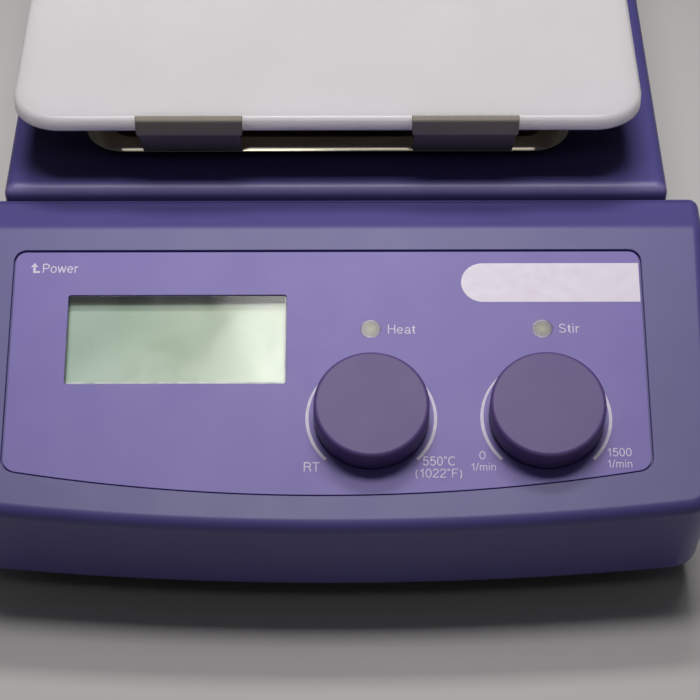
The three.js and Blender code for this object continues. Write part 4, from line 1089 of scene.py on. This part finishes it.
# ------------------------------------------------------------------ back panel
OUT = BACK + 0.3
inlet = from_node("mains_inlet", 0.35, 2)
piece("inlet_body", inlet, black_plastic, replaces="mains_inlet")
for k in ("earth", "line", "neutral"):
    piece(f"pin_{k}", from_node(f"inlet_pin_{k}", 0.4, 3), bright_metal, replaces=f"inlet_pin_{k}")
drawer = from_node("fuse_drawer", 0.3, 2)
piece("fuse_tray", drawer, black_plastic, body="fuse_holder", replaces="fuse_drawer")
fuse = lathe(rounded([(0, -10), (2.3, -10), (2.3, -5.2), (2.15, -5.0), (2.15, 5.0), (2.3, 5.2), (2.3, 10), (0, 10)], [0, 0.3, 0.1, 0.1, 0.1, 0.1, 0.3, 0], 2), 32)
move(fuse, Matrix.Translation((-38, 159.5, 39.5)) @ Matrix.Rotation(math.pi / 2, 4, "Y"))
piece("fuse_link", fuse, fuse_glass, body="fuse_holder", replaces="fuse")
piece("switch_frame", from_node("power_switch_housing", 0.35, 2), black_plastic, replaces="power_switch_housing")

# rocker with hollowed faces, drawn level and then tipped
PY, PZ, TIP = 172.7, 52.0, math.radians(-11)
curve = [(168.7, -3.5), (170.9, -8.2), (178.2, -9.0)]
curve += [(178.2 - 1.9 * (1 - (abs(z) / 8.4) ** 1.6), z) for z in (-8.4, -7, -5.5, -4, -2.5, -1.2, 0, 1.2, 2.5, 4, 5.5, 7, 8.4)]
curve += [(178.2, 9.0), (170.9, 8.2), (168.7, 3.5)]
rock = loft([[(x, y, z) for y, z in inset(curve, d)] for x, d in ((-6.3, 0.35), (-6.2, 0.1), (-5.95, 0), (5.95, 0), (6.2, 0.1), (6.3, 0.35))])
ROCK = Matrix.Translation((REAR["switch"], PY, PZ)) @ Matrix.Rotation(TIP, 4, "X") @ Matrix.Translation((0, -PY, 0))
piece("rocker_key", rock, switch_plastic, body="rocker", replaces="power_rocker", matrix=ROCK)
bar = loft([[(x, 177.35 + dy, z) for x, z in ((-0.35, 4.0), (0.35, 4.0), (0.35, 7.0), (-0.35, 7.0))] for dy in (-1.0, 0.10)])
for v in bar.verts:
    if v.co.y > 177:
        v.co.y = 178.2 - 1.9 * (1 - (abs(v.co.z) / 8.4) ** 1.6) + 0.05
piece("rocker_mark_on", bar, ink, body="rocker", matrix=ROCK)
ringm = hoop([(1.15, -0.05), (1.7, -0.05), (1.7, 0.06), (1.15, 0.06)], 40)
ringm = move(ringm, Matrix.Translation((0, 177.22, -5.4)) @ Matrix.Rotation(math.radians(-90), 4, "X"))
for v in ringm.verts:
    v.co.y += (178.2 - 1.9 * (1 - (abs(v.co.z) / 8.4) ** 1.6)) - 177.22
piece("rocker_mark_off", ringm, ink, body="rocker", matrix=ROCK)

serial = from_node("serial_port", 0.25, 2)
holes = []
for row, n, z in ((0, 5, 53.4), (1, 4, 50.6)):
    for i in range(n):
        holes.append(back_prism(circle(0.62, 16, 22 + (i - (n - 1) / 2) * 2.74, z), 175.5, 182))
piece("serial_shell", serial, bright_metal, replaces="serial_port")
insert_pts = [(-7.9, 3.75), (-6.95, -3.75), (6.95, -3.75), (7.9, 3.75)]
insert_pts = rounded([(22 + a, 52 + b) for a, b in insert_pts], 1.2, 5, closed=True)
insert = boolean(back_prism(insert_pts, 178.9, 179.75, 0.1), holes)
piece("serial_insert", insert, black_plastic)
for s, k in ((-1, "left"), (1, "right")):
    hexa = back_prism([(22 + s * 12.5 + 2.7 * math.cos(math.radians(60 * i + 30)), 52 + 2.7 * math.sin(math.radians(60 * i + 30))) for i in range(6)], 173.5, 179.6, 0.3)
    hexa = boolean(hexa, [back_prism(circle(1.35, 24, 22 + s * 12.5, 52), 176, 182)])
    piece(f"serial_standoff_{k}", hexa, screw_metal)

sens = rounded([(0, 160), (8.2, 160), (8.2, OUT), (10.5, OUT), (10.5, OUT + 2), (6.4, OUT + 2), (6.4, 166), (0, 166)], [0, 0.3, 0, 0, 0.5, 0.35, 0.2, 0], 3)
sens = move(lathe(sens, 72), Matrix.Translation((62, 0, 52)) @ Matrix.Rotation(math.radians(-90), 4, "X"))
piece("probe_socket", sens, bright_metal, replaces="sensor_socket")
disc = back_prism(circle(6.3, 48, 62, 52), 166.05, 168.6, 0.2)
pins = [back_prism(circle(0.7, 16, 62 + 3.6 * math.cos(math.radians(90 + 60 * i)), 52 + 3.6 * math.sin(math.radians(90 + 60 * i))), 167, 172) for i in range(6)]
disc = boolean(disc, pins + [back_prism(round_rect(61.2, 62.8, 45.2, 46.6, 0.3, 3), 167, 172)])
piece("probe_insert", disc, black_plastic)

# threaded rod bush
pitch = 1.25
prof = [(0, 60), (7.7, 60), (8, 60.3), (8, 86.8), (11, 86.8), (11, 88.2)] + [(11 - 0.5 * (1 - math.cos(math.radians(30 * i))), 88.2 + 0.5 * math.sin(math.radians(30 * i))) for i in (1, 2, 3)]
prof += [(6.0, 88.7), (5.35, 88.1)]
steps = int((88.0 - 66.0) / (pitch / 6))
thread = [(5.3, 88.0 - i * pitch / 6) for i in range(steps + 1)]
first, last = len(prof), len(prof) + len(thread) - 1
prof += thread + [(4.9, 65.5), (4.9, 64.0), (0, 64.0)]


def thread_depth(k, r, z, t):
    if not first <= k <= last:
        return 0.0
    u = (z / pitch - t) % 1.0
    return -0.55 * (1 - abs(2 * u - 1))


piece("rod_bush", lathe(prof, 48, thread_depth), bright_metal, replaces="rod_socket", matrix=Matrix.Translation((72, 150, 0)), sharp=50)

# ------------------------------------------------------------------ pieces inside that keep their CAD shape
INSIDE = {
    "insulation_block": (fibre, 0.8), "heating_element": (element, 0.25), "plate_sensor": (bright_metal, 0.3),
    "control_board": (board, 0.15), "power_board": (board, 0.15), "transformer": (laminated, 0.6), "heat_sink": (alloy, 0.2),
    "ribbon_cable": (ribbon, 0.15), "motor_bracket": (alloy, 0.3), "motor_can": (iron, 0.4), "stator_core": (copper, 0.4),
    "bearing_lower": (bright_metal, 0.3), "bearing_upper": (bright_metal, 0.3), "motor_shaft": (bright_metal, 0.3),
    "motor_rotor": (laminated, 0.3), "magnet_holder": (alloy, 0.5), "magnet_a": (magnet, 0.4), "magnet_b": (magnet, 0.4),
}
for name, (mat, width) in INSIDE.items():
    ob = NODES[name]
    ob.data.materials.clear()
    ob.data.materials.append(mat.m)
    for kind, opts in (("WELD", {"merge_threshold": 2e-6}), ("DECIMATE", {"decimate_type": "DISSOLVE", "angle_limit": math.radians(1.5)}),
                       ("BEVEL", {"width": width * MM, "segments": 2, "limit_method": "ANGLE", "angle_limit": math.radians(38)}),
                       ("WEIGHTED_NORMAL", {"keep_sharp": True})):
        mod = ob.modifiers.new(kind.lower(), kind)
        for a, v in opts.items():
            setattr(mod, a, v)

# ------------------------------------------------------------------ stage
me = bpy.data.meshes.new("floor")
me.from_pydata([(-4, -4, 0), (4, -4, 0), (4, 4, 0), (-4, 4, 0)], [], [(0, 1, 2, 3)])
me.materials.append(floor_mat.m)
floor = bpy.data.objects.new("floor", me)
SCENE.collection.objects.link(floor)
